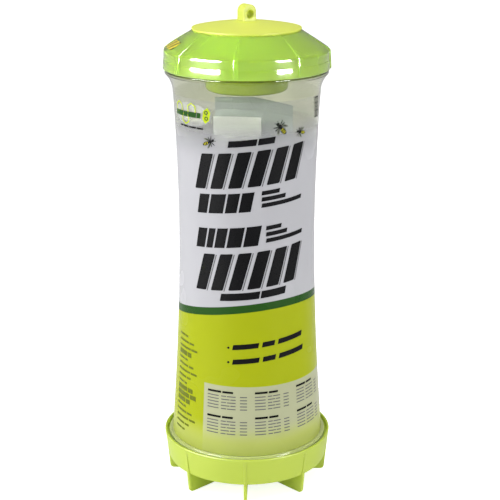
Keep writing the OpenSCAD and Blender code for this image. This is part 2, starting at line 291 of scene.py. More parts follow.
# ---------------------------------------------------------------- node groups and finishes


class Board:
    """A node tree that is being wired."""

    def __init__(self, tree: bpy.types.NodeTree) -> None:
        """Starts wiring a tree.

        Args:
            tree: the material's or group's node tree.
        """
        self.tree = tree

    def add(self, kind: str, inputs: Optional[dict] = None, **settings: object) -> bpy.types.Node:
        """Adds a node.

        Args:
            kind: the node's type, without its ShaderNode prefix.
            inputs: values for its inputs, or sockets to link to them, by name or number.
            **settings: the node's own settings.

        Returns:
            The node.
        """
        node = self.tree.nodes.new(kind if kind.startswith("Node") else "ShaderNode" + kind)
        for key, value in settings.items():
            setattr(node, key, value)
        self.feed(node, inputs or {})
        return node

    def feed(self, node: bpy.types.Node, inputs: dict) -> None:
        """Sets a node's inputs.

        Args:
            node: the node.
            inputs: values for its inputs, or sockets to link to them, by name or number.
        """
        for key, value in inputs.items():
            if isinstance(value, bpy.types.NodeSocket):
                self.tree.links.new(value, node.inputs[key])
            else:
                node.inputs[key].default_value = value

    def group(self, tree: bpy.types.NodeTree, inputs: dict) -> bpy.types.Node:
        """Places a node group with its own values and returns its node."""
        return self.add("Group", inputs, node_tree=tree)

    def sums(self, operation: str, first: object, second: object = 0.0,
             clamp: bool = False) -> bpy.types.NodeSocket:
        """Adds a Math node and returns its result."""
        node = self.add("Math", {0: first, 1: second}, operation=operation, use_clamp=clamp)
        return node.outputs[0]

    def ramp(self, value: object, low: float, high: float, start: float = 0.0,
             stop: float = 1.0) -> bpy.types.NodeSocket:
        """Adds a smooth step from start to stop as a value goes from low to high."""
        node = self.add("MapRange", {"Value": value, "From Min": low, "From Max": high,
                                     "To Min": start, "To Max": stop},
                        interpolation_type="SMOOTHSTEP")
        return node.outputs["Result"]

    def mix(self, share: object, first: object, second: object) -> bpy.types.NodeSocket:
        """Mixes two colours by a share and returns the colour."""
        node = self.add("Mix", {0: share, 6: first, 7: second}, data_type="RGBA")
        return node.outputs[2]


def effect(name: str, inputs: dict, outputs: dict,
           wire: Callable[[Board, bpy.types.Node, bpy.types.Node], None]) -> bpy.types.NodeTree:
    """Builds a shader node group once.

    Args:
        name: the group's name.
        inputs: each input's name, with its socket type and default.
        outputs: each output's name, with its socket type.
        wire: draws the group between its input and output nodes.

    Returns:
        The group.
    """
    if name in bpy.data.node_groups:
        return bpy.data.node_groups[name]
    tree = bpy.data.node_groups.new(name, "ShaderNodeTree")
    for key, (kind, value) in inputs.items():
        socket = tree.interface.new_socket(key, in_out="INPUT", socket_type=kind)
        if value is not None:
            socket.default_value = value
    for key, kind in outputs.items():
        tree.interface.new_socket(key, in_out="OUTPUT", socket_type=kind)
    board = Board(tree)
    wire(board, board.add("NodeGroupInput"), board.add("NodeGroupOutput"))
    return tree


def mould_grain() -> bpy.types.NodeTree:
    """Builds the fine texture that a mould leaves: a grain, and slow waves of sink.

    Returns:
        The group's tree.
    """

    def wire(board: Board, enter: bpy.types.Node, leave: bpy.types.Node) -> None:
        """Draws the group.

        Args:
            board: the group's board.
            enter: its input node.
            leave: its output node.
        """
        fine = board.add("TexNoise", {"Vector": enter.outputs["Vector"],
                                      "Scale": enter.outputs["Scale"], "Detail": 2.0})
        slow = board.add("TexNoise", {"Vector": enter.outputs["Vector"], "Scale": 45.0,
                                      "Detail": 1.0})
        fine_part = board.sums("MULTIPLY", fine.outputs["Fac"], 0.25)
        slow_part = board.sums("MULTIPLY", slow.outputs["Fac"], 0.75)
        board.feed(leave, {"Height": board.sums("ADD", fine_part, slow_part)})

    return effect("mould_grain",
                  {"Vector": ("NodeSocketVector", None), "Scale": ("NodeSocketFloat", 900.0)},
                  {"Height": "NodeSocketFloat"}, wire)


def handling_wear() -> bpy.types.NodeTree:
    """Builds the marks of handling: rubbed patches and fine scratches.

    Returns:
        The group's tree.
    """

    def wire(board: Board, enter: bpy.types.Node, leave: bpy.types.Node) -> None:
        """Draws the group.

        Args:
            board: the group's board.
            enter: its input node.
            leave: its output node.
        """
        patch = board.add("TexNoise", {"Vector": enter.outputs["Vector"], "Scale": 28.0,
                                       "Detail": 4.0, "Roughness": 0.6})
        rubbed = board.ramp(patch.outputs["Fac"], 0.45, 0.75)
        stretch = board.add("Mapping", {"Vector": enter.outputs["Vector"],
                                        "Rotation": (0.4, 0.5, 0.2), "Scale": (1.0, 1.0, 0.06)})
        lines = board.add("TexNoise", {"Vector": stretch.outputs[0], "Scale": 1400.0,
                                       "Detail": 1.0})
        scratch = board.ramp(lines.outputs["Fac"], 0.7, 0.78)
        both = board.sums("MAXIMUM", board.sums("MULTIPLY", rubbed, 0.6), scratch)
        marks = board.sums("MULTIPLY", both, enter.outputs["Amount"])
        rough = board.sums("ADD", enter.outputs["Roughness"], board.sums("MULTIPLY", marks, 0.35))
        board.feed(leave, {"Marks": marks, "Roughness": rough})

    return effect("handling_wear",
                  {"Vector": ("NodeSocketVector", None), "Amount": ("NodeSocketFloat", 0.3),
                   "Roughness": ("NodeSocketFloat", 0.3)},
                  {"Marks": "NodeSocketFloat", "Roughness": "NodeSocketFloat"}, wire)


def tone_drift() -> bpy.types.NodeTree:
    """Builds the slow change of tone through a moulded or printed colour.

    Returns:
        The group's tree.
    """

    def wire(board: Board, enter: bpy.types.Node, leave: bpy.types.Node) -> None:
        """Draws the group.

        Args:
            board: the group's board.
            enter: its input node.
            leave: its output node.
        """
        cloud = board.add("TexNoise", {"Vector": enter.outputs["Vector"], "Scale": 16.0,
                                       "Detail": 3.0})
        share = board.sums("MULTIPLY", board.ramp(cloud.outputs["Fac"], 0.3, 0.7),
                           enter.outputs["Amount"])
        mixed = board.mix(share, enter.outputs["Colour"], enter.outputs["Drift"])
        board.feed(leave, {"Colour": mixed})

    return effect("tone_drift",
                  {"Vector": ("NodeSocketVector", None), "Amount": ("NodeSocketFloat", 0.4),
                   "Colour": ("NodeSocketColor", None), "Drift": ("NodeSocketColor", None)},
                  {"Colour": "NodeSocketColor"}, wire)


def new_material(name: str) -> tuple[bpy.types.Material, Board, bpy.types.Node,
                                      bpy.types.NodeSocket]:
    """Starts a material.

    Args:
        name: the material's name.

    Returns:
        The material, its board, its Principled node, and the object coordinates' socket.
    """
    material = bpy.data.materials.new(name)
    material.use_nodes = True
    board = Board(material.node_tree)
    shader = material.node_tree.nodes["Principled BSDF"]
    where = board.add("TexCoord").outputs["Object"]
    return material, board, shader, where


@dataclass(frozen=True)
class Finish:
    """A finish, whose material is built once.

    Attributes:
        name: the material's name.
    """

    name: str

    def material(self) -> bpy.types.Material:
        """Gives the material, and builds it the first time.

        Returns:
            The material.
        """
        if self.name not in bpy.data.materials:
            _, board, shader, where = new_material(self.name)
            self.dress(board, shader, where)
        return bpy.data.materials[self.name]

    def dress(self, board: Board, shader: bpy.types.Node, where: bpy.types.NodeSocket) -> None:
        """Wires the finish.

        Args:
            board: the material's board.
            shader: its Principled node.
            where: the object coordinates.
        """
        raise NotImplementedError


@dataclass(frozen=True)
class Moulded(Finish):
    """An injection-moulded plastic, opaque or clear.

    Attributes:
        colour: its colour.
        drift: the colour that it drifts to in places.
        roughness: how dull it is.
        transmission: how much light goes through its body, from 0 to 1.
        haze: how much light it scatters inside, from 0 to 1.
        ior: its index of refraction.
        grain: depth of its surface texture, in millimetres.
        wear: strength of its handling marks.
        shade: how dark a shadow it casts, from 0 to 1.
        gloss: strength of the polished skin over it, from 0 to 1.
        skin_ior: the skin's index of refraction.
        shine: strength of the body's own reflections.
    """

    colour: Colour
    drift: Colour
    roughness: float = 0.25
    transmission: float = 0.0
    haze: float = 0.0
    ior: float = 1.46
    grain: float = 0.02
    wear: float = 0.25
    shade: float = 1.0
    gloss: float = 0.0
    skin_ior: float = 1.5
    shine: float = 0.5

    def dress(self, board: Board, shader: bpy.types.Node, where: bpy.types.NodeSocket) -> None:
        """Wires the finish.

        Args:
            board: the material's board.
            shader: its Principled node.
            where: the object coordinates.
        """
        tone = board.group(tone_drift(), {"Vector": where, "Colour": self.colour,
                                          "Drift": self.drift})
        wear = board.group(handling_wear(), {"Vector": where, "Amount": self.wear,
                                             "Roughness": self.roughness})
        grain = board.group(mould_grain(), {"Vector": where})
        bump = board.add("Bump", {"Height": grain.outputs["Height"], "Strength": 0.5,
                                  "Distance": self.grain * MM})
        board.feed(shader, {
            "Base Color": tone.outputs["Colour"], "Roughness": wear.outputs["Roughness"],
            "Normal": bump.outputs["Normal"], "IOR": self.ior, "Specular IOR Level": self.shine,
            "Transmission Weight": self.transmission, "Subsurface Weight": self.haze,
            "Subsurface Radius": (1.0, 1.0, 0.3), "Subsurface Scale": 4.0 * MM,
            "Coat Weight": self.gloss, "Coat Roughness": 0.04, "Coat IOR": self.skin_ior})
        if self.shade < 1.0:
            path = board.add("LightPath")
            clear = board.sums("MULTIPLY", path.outputs["Is Shadow Ray"], 1.0 - self.shade)
            board.feed(shader, {"Alpha": board.sums("SUBTRACT", 1.0, clear)})


@dataclass(frozen=True)
class Ink(Finish):
    """A print on the film.

    Attributes:
        colour: the ink's colour.
        faded: the colour of its thin places.
        opacity: how much it covers, from 0 to 1.
    """

    colour: Colour
    faded: Colour
    opacity: float = 1.0

    def dress(self, board: Board, shader: bpy.types.Node, where: bpy.types.NodeSocket) -> None:
        """Wires the finish.

        Args:
            board: the material's board.
            shader: its Principled node.
            where: the object coordinates.
        """
        speck = board.add("TexNoise", {"Vector": where, "Scale": 1500.0, "Detail": 2.0})
        thin = board.ramp(speck.outputs["Fac"], 0.55, 0.75, 0.0, 0.35)
        board.feed(shader, {
            "Base Color": board.mix(thin, self.colour, self.faded),
            "Roughness": board.ramp(speck.outputs["Fac"], 0.3, 0.7, 0.26, 0.36),
            "Alpha": self.opacity, "Specular IOR Level": 0.06})


@dataclass(frozen=True)
class PrintedFilm(Finish):
    """The film round the canister: a milky field, a tilted band, a lime field and a panel.

    Attributes:
        name: the material's name.
        milky: colour of the upper field.
        band: colour of the tilted band.
        lime: colour of the lower field.
        panel: colour of the notes panel.
        pale: painted light: a pale lime painted on the film's clear foot, standing in for the lime
            base inside seen lit through the wall.
        fade_top: heights between which the print fades out at the top.
        fade_low: heights between which it fades out at the bottom.
        band_z: the band's lower and upper edge on the axis.
        band_tilt: the band's slope across the trap, and from its front to its back.
        panel_top: height of the panel's upper edge.
        panel_from: angle of the panel's left edge.
        panel_to: angle of its right edge.
    """

    name: str = "film_print"
    milky: Colour = (0.61, 0.61, 0.645, 1.0)
    band: Colour = (0.022, 0.100, 0.010, 1.0)
    lime: Colour = (0.48, 0.55, 0.007, 1.0)
    panel: Colour = (0.57, 0.59, 0.37, 1.0)
    pale: Colour = (0.66, 0.74, 0.16, 1.0)
    fade_top: tuple[float, float] = (278.0, 242.0)
    fade_low: tuple[float, float] = (36.0, 60.0)
    band_z: tuple[float, float] = (133.9, 139.5)
    band_tilt: tuple[float, float] = (0.12, -0.137)
    panel_top: float = 86.5
    panel_from: float = -34.3
    panel_to: float = 150.0

    def dress(self, board: Board, shader: bpy.types.Node, where: bpy.types.NodeSocket) -> None:
        """Wires the finish.

        Args:
            board: the material's board.
            shader: its Principled node.
            where: the object coordinates.
        """
        axes = board.add("SeparateXYZ", {0: where}).outputs
        height = board.sums("MULTIPLY", axes["Z"], 1000.0)
        across = board.sums("MULTIPLY", axes["X"], 1000.0 * self.band_tilt[0])
        along = board.sums("MULTIPLY", axes["Y"], 1000.0 * self.band_tilt[1])
        tilted = board.sums("SUBTRACT", height, board.sums("ADD", across, along))
        back = board.sums("MULTIPLY", axes["Y"], -1.0)
        angle = board.sums("DEGREES", board.sums("ARCTAN2", axes["X"], back))
        cloud = board.add("TexNoise", {"Vector": where, "Scale": 22.0, "Detail": 2.0})
        tone = board.ramp(cloud.outputs["Fac"], 0.3, 0.7, 0.0, 0.12)
        milky = board.mix(tone, self.milky, (0.72, 0.72, 0.74, 1.0))
        over_low = board.ramp(tilted, self.band_z[0] - 0.1, self.band_z[0] + 0.1)
        over_high = board.ramp(tilted, self.band_z[1] - 0.1, self.band_z[1] + 0.1)
        colour = board.mix(over_low, self.lime, self.band)
        colour = board.mix(over_high, colour, milky)
        right = board.ramp(angle, self.panel_from - 0.3, self.panel_from + 0.3)
        left = board.ramp(angle, self.panel_to - 0.3, self.panel_to + 0.3, 1.0, 0.0)
        below = board.ramp(height, self.panel_top - 0.3, self.panel_top + 0.3, 1.0, 0.0)
        inside = board.sums("MULTIPLY", board.sums("MULTIPLY", right, left), below)
        colour = board.mix(inside, colour, self.panel)
        # Painted light: the film's clear foot is painted pale lime in place of the lit lime base
        # that shows through it.
        thin = board.ramp(height, self.fade_low[0] + 6.0, self.fade_low[1], 0.9, 0.0)
        colour = board.mix(thin, colour, self.pale)
        top = board.ramp(height, self.fade_top[1], self.fade_top[0], 0.9, 0.1)
        low = board.ramp(height, self.fade_low[0], self.fade_low[1], 0.6, 0.97)
        cover = board.sums("MINIMUM", top, low)
        wave = board.add("TexNoise", {"Vector": where, "Scale": 30.0, "Detail": 1.0})
        bump = board.add("Bump", {"Height": wave.outputs["Fac"], "Strength": 0.3,
                                  "Distance": 0.1 * MM})
        board.feed(shader, {
            "Base Color": colour, "Alpha": cover, "Normal": bump.outputs["Normal"],
            "Roughness": board.ramp(cloud.outputs["Fac"], 0.3, 0.7, 0.2, 0.28),
            "Specular IOR Level": 0.1})


@dataclass(frozen=True)
class Foil(Finish):
    """A crumpled metal foil laminate.

    Attributes:
        name: the material's name.
        colour: the foil's colour.
        dull: the colour of its dull side.
    """

    name: str = "crumpled_foil"
    colour: Colour = (0.23, 0.27, 0.26, 1.0)
    dull: Colour = (0.17, 0.205, 0.195, 1.0)

    def dress(self, board: Board, shader: bpy.types.Node, where: bpy.types.NodeSocket) -> None:
        """Wires the finish.

        Args:
            board: the material's board.
            shader: its Principled node.
            where: the object coordinates.
        """
        crease = board.add("TexVoronoi", {"Vector": where, "Scale": 70.0},
                           feature="DISTANCE_TO_EDGE")
        ripple = board.add("TexNoise", {"Vector": where, "Scale": 160.0, "Detail": 4.0})
        edge = board.ramp(crease.outputs["Distance"], 0.0, 0.06)
        height = board.sums("ADD", board.sums("MULTIPLY", edge, 0.5), ripple.outputs["Fac"])
        bump = board.add("Bump", {"Height": height, "Strength": 0.4, "Distance": 0.5 * MM})
        board.feed(shader, {
            "Base Color": board.mix(ripple.outputs["Fac"], self.colour, self.dull),
            "Roughness": board.ramp(ripple.outputs["Fac"], 0.2, 0.8, 0.42, 0.6),
            "Normal": bump.outputs["Normal"], "Metallic": 0.45})


@dataclass(frozen=True)
class Fibrous(Finish):
    """A paper, felt or powder: matt, with a fibrous or grainy surface.

    Attributes:
        colour: its colour.
        shade: the colour of its hollows.
        scale: the size of its grain, as a noise scale.
        depth: the depth of its grain, in millimetres.
    """

    colour: Colour
    shade: Colour
    scale: float = 700.0
    depth: float = 0.08

    def dress(self, board: Board, shader: bpy.types.Node, where: bpy.types.NodeSocket) -> None:
        """Wires the finish.

        Args:
            board: the material's board.
            shader: its Principled node.
            where: the object coordinates.
        """
        stretch = board.add("Mapping", {"Vector": where, "Scale": (1.0, 1.0, 0.35)})
        fibre = board.add("TexNoise", {"Vector": stretch.outputs[0], "Scale": self.scale,
                                       "Detail": 5.0, "Roughness": 0.65})
        cloud = board.add("TexNoise", {"Vector": where, "Scale": 40.0, "Detail": 2.0})
        share = board.sums("MULTIPLY", fibre.outputs["Fac"], cloud.outputs["Fac"])
        bump = board.add("Bump", {"Height": fibre.outputs["Fac"], "Strength": 0.5,
                                  "Distance": self.depth * MM})
        board.feed(shader, {
            "Base Color": board.mix(share, self.colour, self.shade),
            "Roughness": board.ramp(fibre.outputs["Fac"], 0.2, 0.8, 0.7, 0.9),
            "Normal": bump.outputs["Normal"]})


@dataclass(frozen=True)
class StickerFilm(Finish):
    """A small yellow sticker with plain black marks.

    Attributes:
        name: the material's name.
        ground: the sticker's colour.
        mark: the colour of its marks.
        pitch: how many marks there are per metre of its width.
    """

    name: str = "sticker_print"
    ground: Colour = (0.86, 0.72, 0.04, 1.0)
    mark: Colour = (0.02, 0.02, 0.02, 1.0)
    pitch: float = 300.0

    def dress(self, board: Board, shader: bpy.types.Node, where: bpy.types.NodeSocket) -> None:
        """Wires the finish.

        Args:
            board: the material's board.
            shader: its Principled node.
            where: the object coordinates.
        """
        axes = board.add("SeparateXYZ", {0: where}).outputs
        slide = board.sums("MULTIPLY", board.sums("ADD", axes["Y"], axes["Z"]), self.pitch)
        wave = board.sums("PINGPONG", slide, 1.0)
        marks = board.ramp(wave, 0.62, 0.68)
        speck = board.add("TexNoise", {"Vector": where, "Scale": 900.0, "Detail": 2.0})
        board.feed(shader, {
            "Base Color": board.mix(marks, self.ground, self.mark),
            "Roughness": board.ramp(speck.outputs["Fac"], 0.3, 0.7, 0.22, 0.34)})


LIME = Moulded("lime_moulding", (0.54, 0.68, 0.065, 1.0), (0.57, 0.69, 0.08, 1.0),
               roughness=0.36, haze=0.12)
CAP_LIME = Moulded("cap_moulding", (0.72, 0.79, 0.12, 1.0), (0.74, 0.80, 0.14, 1.0),
                   roughness=0.42, haze=0.12, shine=0.2)
GREEN_CLEAR = Moulded("green_clear_moulding", (0.57, 0.79, 0.12, 1.0), (0.60, 0.80, 0.14, 1.0),
                      roughness=0.16, transmission=0.6, ior=1.3, grain=0.01, wear=0.12,
                      shade=0.6, gloss=1.0, skin_ior=1.75)
FUNNEL_CLEAR = Moulded("funnel_moulding", (0.32, 0.41, 0.045, 1.0), (0.35, 0.43, 0.06, 1.0),
                       roughness=0.2, transmission=0.4, ior=1.3, grain=0.01, shade=0.3)
# Painted light: the clear flange is tinted bright lime in place of the lime ledge and gasket seen
# lit through it.
FLANGE_PAINTED_LIGHT = Moulded("flange_painted_light", (0.76, 0.84, 0.36, 1.0), (0.74, 0.82, 0.34, 1.0),
                 roughness=0.12, transmission=0.3, ior=1.3, grain=0.006, shade=0.1, gloss=0.6)
CLEAR = Moulded("clear_moulding", (0.80, 0.815, 0.69, 1.0), (0.78, 0.80, 0.67, 1.0),
                roughness=0.04, transmission=1.0, ior=1.12, grain=0.006, wear=0.12, shade=0.06,
                gloss=0.6)
FROSTED = Moulded("frosted_moulding", (0.92, 0.94, 0.93, 1.0), (0.88, 0.90, 0.90, 1.0),
                  roughness=0.35, transmission=0.6, shade=0.3)
DIVIDER = Moulded("divider_moulding", (0.55, 0.72, 0.10, 1.0), (0.50, 0.68, 0.10, 1.0),
                  roughness=0.4)
WHITE = Moulded("white_moulding", (0.82, 0.82, 0.80, 1.0), (0.78, 0.78, 0.75, 1.0),
                roughness=0.38)
RUBBER = Moulded("soft_gasket", (0.60, 0.66, 0.42, 1.0), (0.56, 0.62, 0.40, 1.0),
                 roughness=0.55, grain=0.04)
LIQUID = Moulded("amber_liquid", (0.85, 0.62, 0.15, 1.0), (0.80, 0.56, 0.12, 1.0),
                 roughness=0.02, transmission=0.85, ior=1.34, shade=0.4)
PAPER = Fibrous("packet_stock", (0.86, 0.88, 0.97, 1.0), (0.74, 0.76, 0.86, 1.0))
FELT = Fibrous("pad_felt", (0.80, 0.74, 0.58, 1.0), (0.62, 0.55, 0.40, 1.0), depth=0.3)
POWDER = Fibrous("bait_powder", (0.80, 0.72, 0.50, 1.0), (0.66, 0.57, 0.36, 1.0), scale=1600.0,
                 depth=0.2)
BLACK_INK = Ink("black_ink", (0.006, 0.006, 0.007, 1.0), (0.02, 0.02, 0.022, 1.0))
GREY_INK = Ink("grey_ink", (0.20, 0.20, 0.21, 1.0), (0.3, 0.3, 0.31, 1.0), opacity=0.75)
GREEN_INK = Ink("green_ink", (0.02, 0.10, 0.012, 1.0), (0.05, 0.14, 0.03, 1.0))
LIME_INK = Ink("lime_ink", (0.60, 0.74, 0.01, 1.0), (0.64, 0.76, 0.06, 1.0))
OLIVE_INK = Ink("olive_ink", (0.20, 0.24, 0.02, 1.0), (0.28, 0.32, 0.05, 1.0), opacity=0.8)
YELLOW_INK = Ink("yellow_ink", (0.70, 0.66, 0.03, 1.0), (0.74, 0.70, 0.10, 1.0))
PALE_INK = Ink("pale_ink", (0.80, 0.82, 0.80, 1.0), (0.74, 0.76, 0.74, 1.0), opacity=0.3)
WING_INK = Ink("wing_ink", (0.26, 0.28, 0.22, 1.0), (0.36, 0.38, 0.32, 1.0), opacity=0.7)


# ---------------------------------------------------------------- shared shapes of the body


@dataclass(frozen=True)
class BodyCurve:
    """The canister's waisted outer curve.

    Attributes:
        low_z: height where the curve starts, above the base's rim.
        low_r: radius there.
        waist_z: height of the waist.
        waist_r: radius at the waist.
        flare_z: height where the flare starts.
        up_r: radius there.
        flare_h: height of the flare.
        shoulder_r: radius of the shoulder at the top of the flare.
    """

    low_z: float = 36.0
    low_r: float = 54.7
    waist_z: float = 190.0
    waist_r: float = 47.8
    flare_z: float = 287.0
    up_r: float = 51.2
    flare_h: float = 12.6
    shoulder_r: float = 56.6

    def waisted(self, z: float) -> float:
        """Gives the radius at a height, without the flare.

        Args:
            z: the height.

        Returns:
            The radius.
        """
        if z < self.waist_z:
            share = (self.waist_z - z) / (self.waist_z - self.low_z)
            return self.waist_r + (self.low_r - self.waist_r) * share ** 1.75
        share = (z - self.waist_z) / (self.flare_z - self.waist_z)
        return self.waist_r + (self.up_r - self.waist_r) * share ** 2.1

    def radius(self, z: float) -> float:
        """Gives the outer radius at a height.

        Args:
            z: the height.

        Returns:
            The radius.
        """
        if z <= self.flare_z:
            return self.waisted(z)
        out = self.shoulder_r - self.waisted(self.flare_z + self.flare_h)
        return self.waisted(z) + out * ((z - self.flare_z) / self.flare_h) ** 2.3

    def wall(self, low: float, high: float, offset: float, count: int) -> list[Corner]:
        """Gives corners up the curve.

        Args:
            low: height of the first corner.
            high: height of the last one.
            offset: how far outside the curve they lie.
            count: how many lengths the stretch is drawn in.

        Returns:
            The corners, from low to high.
        """
        heights = [low + (high - low) * i / count for i in range(count + 1)]
        return [(self.radius(z) + offset, z, 0.0) for z in heights]


CURVE = BodyCurve()
# The threads' rise in a full turn at the lid and at the base, the length of a base ridge in
# degrees, and the height that a ridge stands out from its wall.
LID_LEAD = 8.0
BASE_LEAD = 20.0
BASE_RIDGE = 33.0
THREAD_DEPTH = 1.3


# ---------------------------------------------------------------- the trap's sub-assemblies


@dataclass(frozen=True)
class Base:
    """The lime base: a dish with a rim, radial feet, a gasket and the lower entry cone.

    Attributes:
        rim_r: outer radius of the rim.
        rim_z: height of the rim.
        rim_wall: thickness of the rim.
        foot_h: height of the dish above the level that the feet stand on.
        floor_t: thickness of the dish's floor.
        hole_r: radius of the entry hole.
        foot_t: thickness of a foot.
        feet: number of feet.
        socket_r: radius of the socket that the canister's neck turns in.
        cone_h: height of the entry cone.
        cone_top_r: radius of the hole at its top.
        gasket_r: inner and outer radius of the gasket.
        gasket_t: thickness of the gasket.
    """

    rim_r: float = 61.0
    rim_z: float = 35.0
    rim_wall: float = 1.8
    foot_h: float = 14.0
    floor_t: float = 2.0
    hole_r: float = 28.5
    foot_t: float = 2.3
    feet: int = 8
    socket_r: float = 55.1
    cone_h: float = 69.0
    cone_top_r: float = 8.0
    gasket_r: tuple[float, float] = (53.7, 57.6)
    gasket_t: float = 1.5

    def dish(self) -> Outline:
        """Gives the dish's half section.

        Returns:
            The half section.
        """
        outer = self.rim_r - 3.0
        recess = self.rim_r - self.rim_wall
        floor = self.foot_h + self.floor_t
        ledge = self.rim_z - 3.5
        return Outline([
            (self.hole_r, self.foot_h, 0.5), (outer - 7.1, self.foot_h, 0.3),
            (outer - 7.1, self.foot_h - 2, 0.4), (outer - 5.1, self.foot_h - 2, 0.4),
            (outer - 5.1, self.foot_h, 0.3), (outer, self.foot_h, 3.1),
            (self.rim_r, self.rim_z, 0.8), (recess, self.rim_z, 0.8), (recess, ledge, 0.3),
            (self.socket_r, ledge, 0.4), (self.socket_r, floor, 0.6),
            (self.hole_r + 6.3, floor, 0.2), (self.hole_r + 6.3, floor + 2.6, 0.3),
            (self.hole_r + 4.6, floor + 2.6, 0.3), (self.hole_r + 4.6, floor + 1.7, 0.1),
            (self.hole_r + 4.9, floor + 1.5, 0.1), (self.hole_r + 4.9, floor, 0.1),
            (self.hole_r, floor, 0.5)])

    def foot(self) -> Outline:
        """Gives the outline of a foot, with the rib that runs up the wall.

        Returns:
            The outline.
        """
        tip = self.rim_r - 3.5
        floor = self.foot_h + self.floor_t
        return Outline([
            (self.hole_r + 1.5, 0.0, 0.6), (tip, 0.0, 3.0),
            (self.rim_r - 0.15, self.rim_z - 2.2, 0.5),
            (self.rim_r - 0.95, self.rim_z - 2.2, 0.0), (self.rim_r - 0.95, self.rim_z - 4.5, 0.0),
            (self.rim_r - 4.0, floor + 1.0, 0.0), (self.rim_r - 6.1, floor - 1.0, 0.0),
            (self.hole_r + 1.5, floor - 1.0, 0.0)])

    def build(self) -> None:
        """Builds the dish with its feet, the gasket and the entry cone."""
        bm = lathe(self.dish())
        outline = self.foot().points(6)
        for index in range(self.feet):
            verts = plate(bm, outline, self.foot_t, 0.45)
            turned(bm, index * 360 / self.feet - 90, verts)
        thread(bm, self.socket_r, self.socket_r - THREAD_DEPTH, self.rim_z - 8.9, BASE_LEAD,
               BASE_RIDGE, 4, 1.6, -BASE_RIDGE / 2)
        piece("base_dish", bm, Body.BASE, LIME.material(), ["base"])

        inner, outer = self.gasket_r
        ledge = self.rim_z - 3.5
        top = ledge + self.gasket_t
        ring = Outline([(inner, ledge, 0.3), (outer, ledge, 0.3), (outer, top, 0.3),
                        (inner, top, 0.3)])
        piece("base_gasket_ring", lathe(ring), Body.GASKET, RUBBER.material(),
              ["base_gasket"])

        floor = self.foot_h + self.floor_t
        top = floor + self.cone_h
        cone = Outline([
            (self.hole_r + 0.5, floor, 0.3), (self.hole_r + 4.6, floor, 0.2),
            (self.hole_r + 4.6, floor + 1.4, 0.2), (self.hole_r + 1.7, floor + 1.4, 0.6),
            (self.cone_top_r + 1.2, top, 0.4), (self.cone_top_r, top, 0.4)])
        piece("lower_entry_cone", lathe(cone), Body.BASE,
              GREEN_CLEAR.material(), ["entry_cone"])


@dataclass(frozen=True)
class Canister:
    """The clear canister, open at both ends, with the divider at its waist.

    Attributes:
        wall: thickness of the body.
        neck_wall: thickness of the two necks.
        neck_r: outer radius of the upper neck.
        low_neck_r: outer radius of the lower neck.
        shoulder_z: height of the shoulder.
        lip_z: height of the upper lip.
        low_z: height of the lower end.
        flange_z: height of the flange that sits on the gasket.
        flange_r: radius of that flange.
    """

    wall: float = 1.2
    neck_wall: float = 1.6
    neck_r: float = 53.4
    low_neck_r: float = 53.4
    shoulder_z: float = 302.0
    lip_z: float = 310.0
    low_z: float = 18.0
    flange_z: float = 33.0
    flange_r: float = 57.6

    def outline(self) -> Outline:
        """Gives the canister's half section.

        Returns:
            The half section.
        """
        top = CURVE.flare_z + CURVE.flare_h
        shelf = CURVE.waist_z - 1.5
        neck_in = self.neck_r - self.neck_wall
        low_in = self.low_neck_r - self.neck_wall
        outer = CURVE.wall(CURVE.low_z, CURVE.flare_z, 0.0, 34)
        outer += CURVE.wall(CURVE.flare_z + 1.0, top, 0.0, 14)
        inner = [(r - self.wall, z, 0.0) for r, z, _ in reversed(outer)]
        above = [corner for corner in inner if corner[1] > shelf + 0.5]
        below = [corner for corner in inner if corner[1] < shelf - 2.0]
        waist_in = CURVE.waist_r - self.wall
        return Outline([
            (low_in, self.low_z, 0.4), (self.low_neck_r, self.low_z, 0.4),
            (self.low_neck_r, self.flange_z, 0.2), (CURVE.low_r - 0.1, self.flange_z, 0.2),
            (CURVE.low_r - 0.1, self.flange_z + 2.2, 0.2), *outer,
            (CURVE.shoulder_r, self.shoulder_z, 0.6), (self.neck_r, self.shoulder_z, 0.3),
            (self.neck_r, self.lip_z, 0.5), (neck_in, self.lip_z, 0.4),
            (neck_in, self.shoulder_z - self.wall, 0.6),
            (CURVE.shoulder_r - self.wall, self.shoulder_z - self.wall, 0.4),
            *above, (waist_in, shelf, 0.1), (waist_in - 1.4, shelf, 0.3),
            (waist_in - 1.4, shelf - 1.5, 0.3), (waist_in, shelf - 1.5, 0.1),
            *below, (low_in, self.flange_z, 0.5)])

    def build(self) -> None:
        """Builds the canister with its threads, and the divider."""
        bm = lathe(self.outline(), 180)
        thread(bm, self.neck_r, self.neck_r + THREAD_DEPTH, self.shoulder_z + 1.6, LID_LEAD, 215.0,
               2, 1.2)
        thread(bm, self.low_neck_r, self.low_neck_r + THREAD_DEPTH, self.flange_z - 9.4, BASE_LEAD,
               BASE_RIDGE, 4, 1.6, -BASE_RIDGE / 2)
        piece("canister_shell", bm, Body.CANISTER, CLEAR.material(), ["canister"])
        # Painted light: this lime-tinted ring stands in for the lit lime ledge and gasket seen
        # through the clear flange.
        inner, high = CURVE.low_r - 0.05, self.flange_z + 2.2
        ring = Outline([
            (inner, self.flange_z, 0.1), (self.flange_r, self.flange_z, 0.5),
            (self.flange_r, high - 0.8, 0.3), (self.flange_r - 0.7, high - 0.8, 0.2),
            (self.flange_r - 0.7, high, 0.3), (inner, high, 0.2)])
        piece("canister_flange", lathe(ring), Body.CANISTER, FLANGE_PAINTED_LIGHT.material())

        low, high = CURVE.waist_z - 1.5, CURVE.waist_z
        rim = CURVE.waist_r - self.wall - 0.3
        plate_line = Outline([(0.0, low, 0.0), (rim, low, 0.4), (rim, high + 6, 0.3),
                              (rim - 1.2, high + 6, 0.3), (rim - 1.2, high, 0.6),
                              (0.0, high, 0.0)], closed=False)
        piece("divider_plate", lathe(plate_line), Body.CANISTER,
              DIVIDER.material(), ["chamber_divider"])


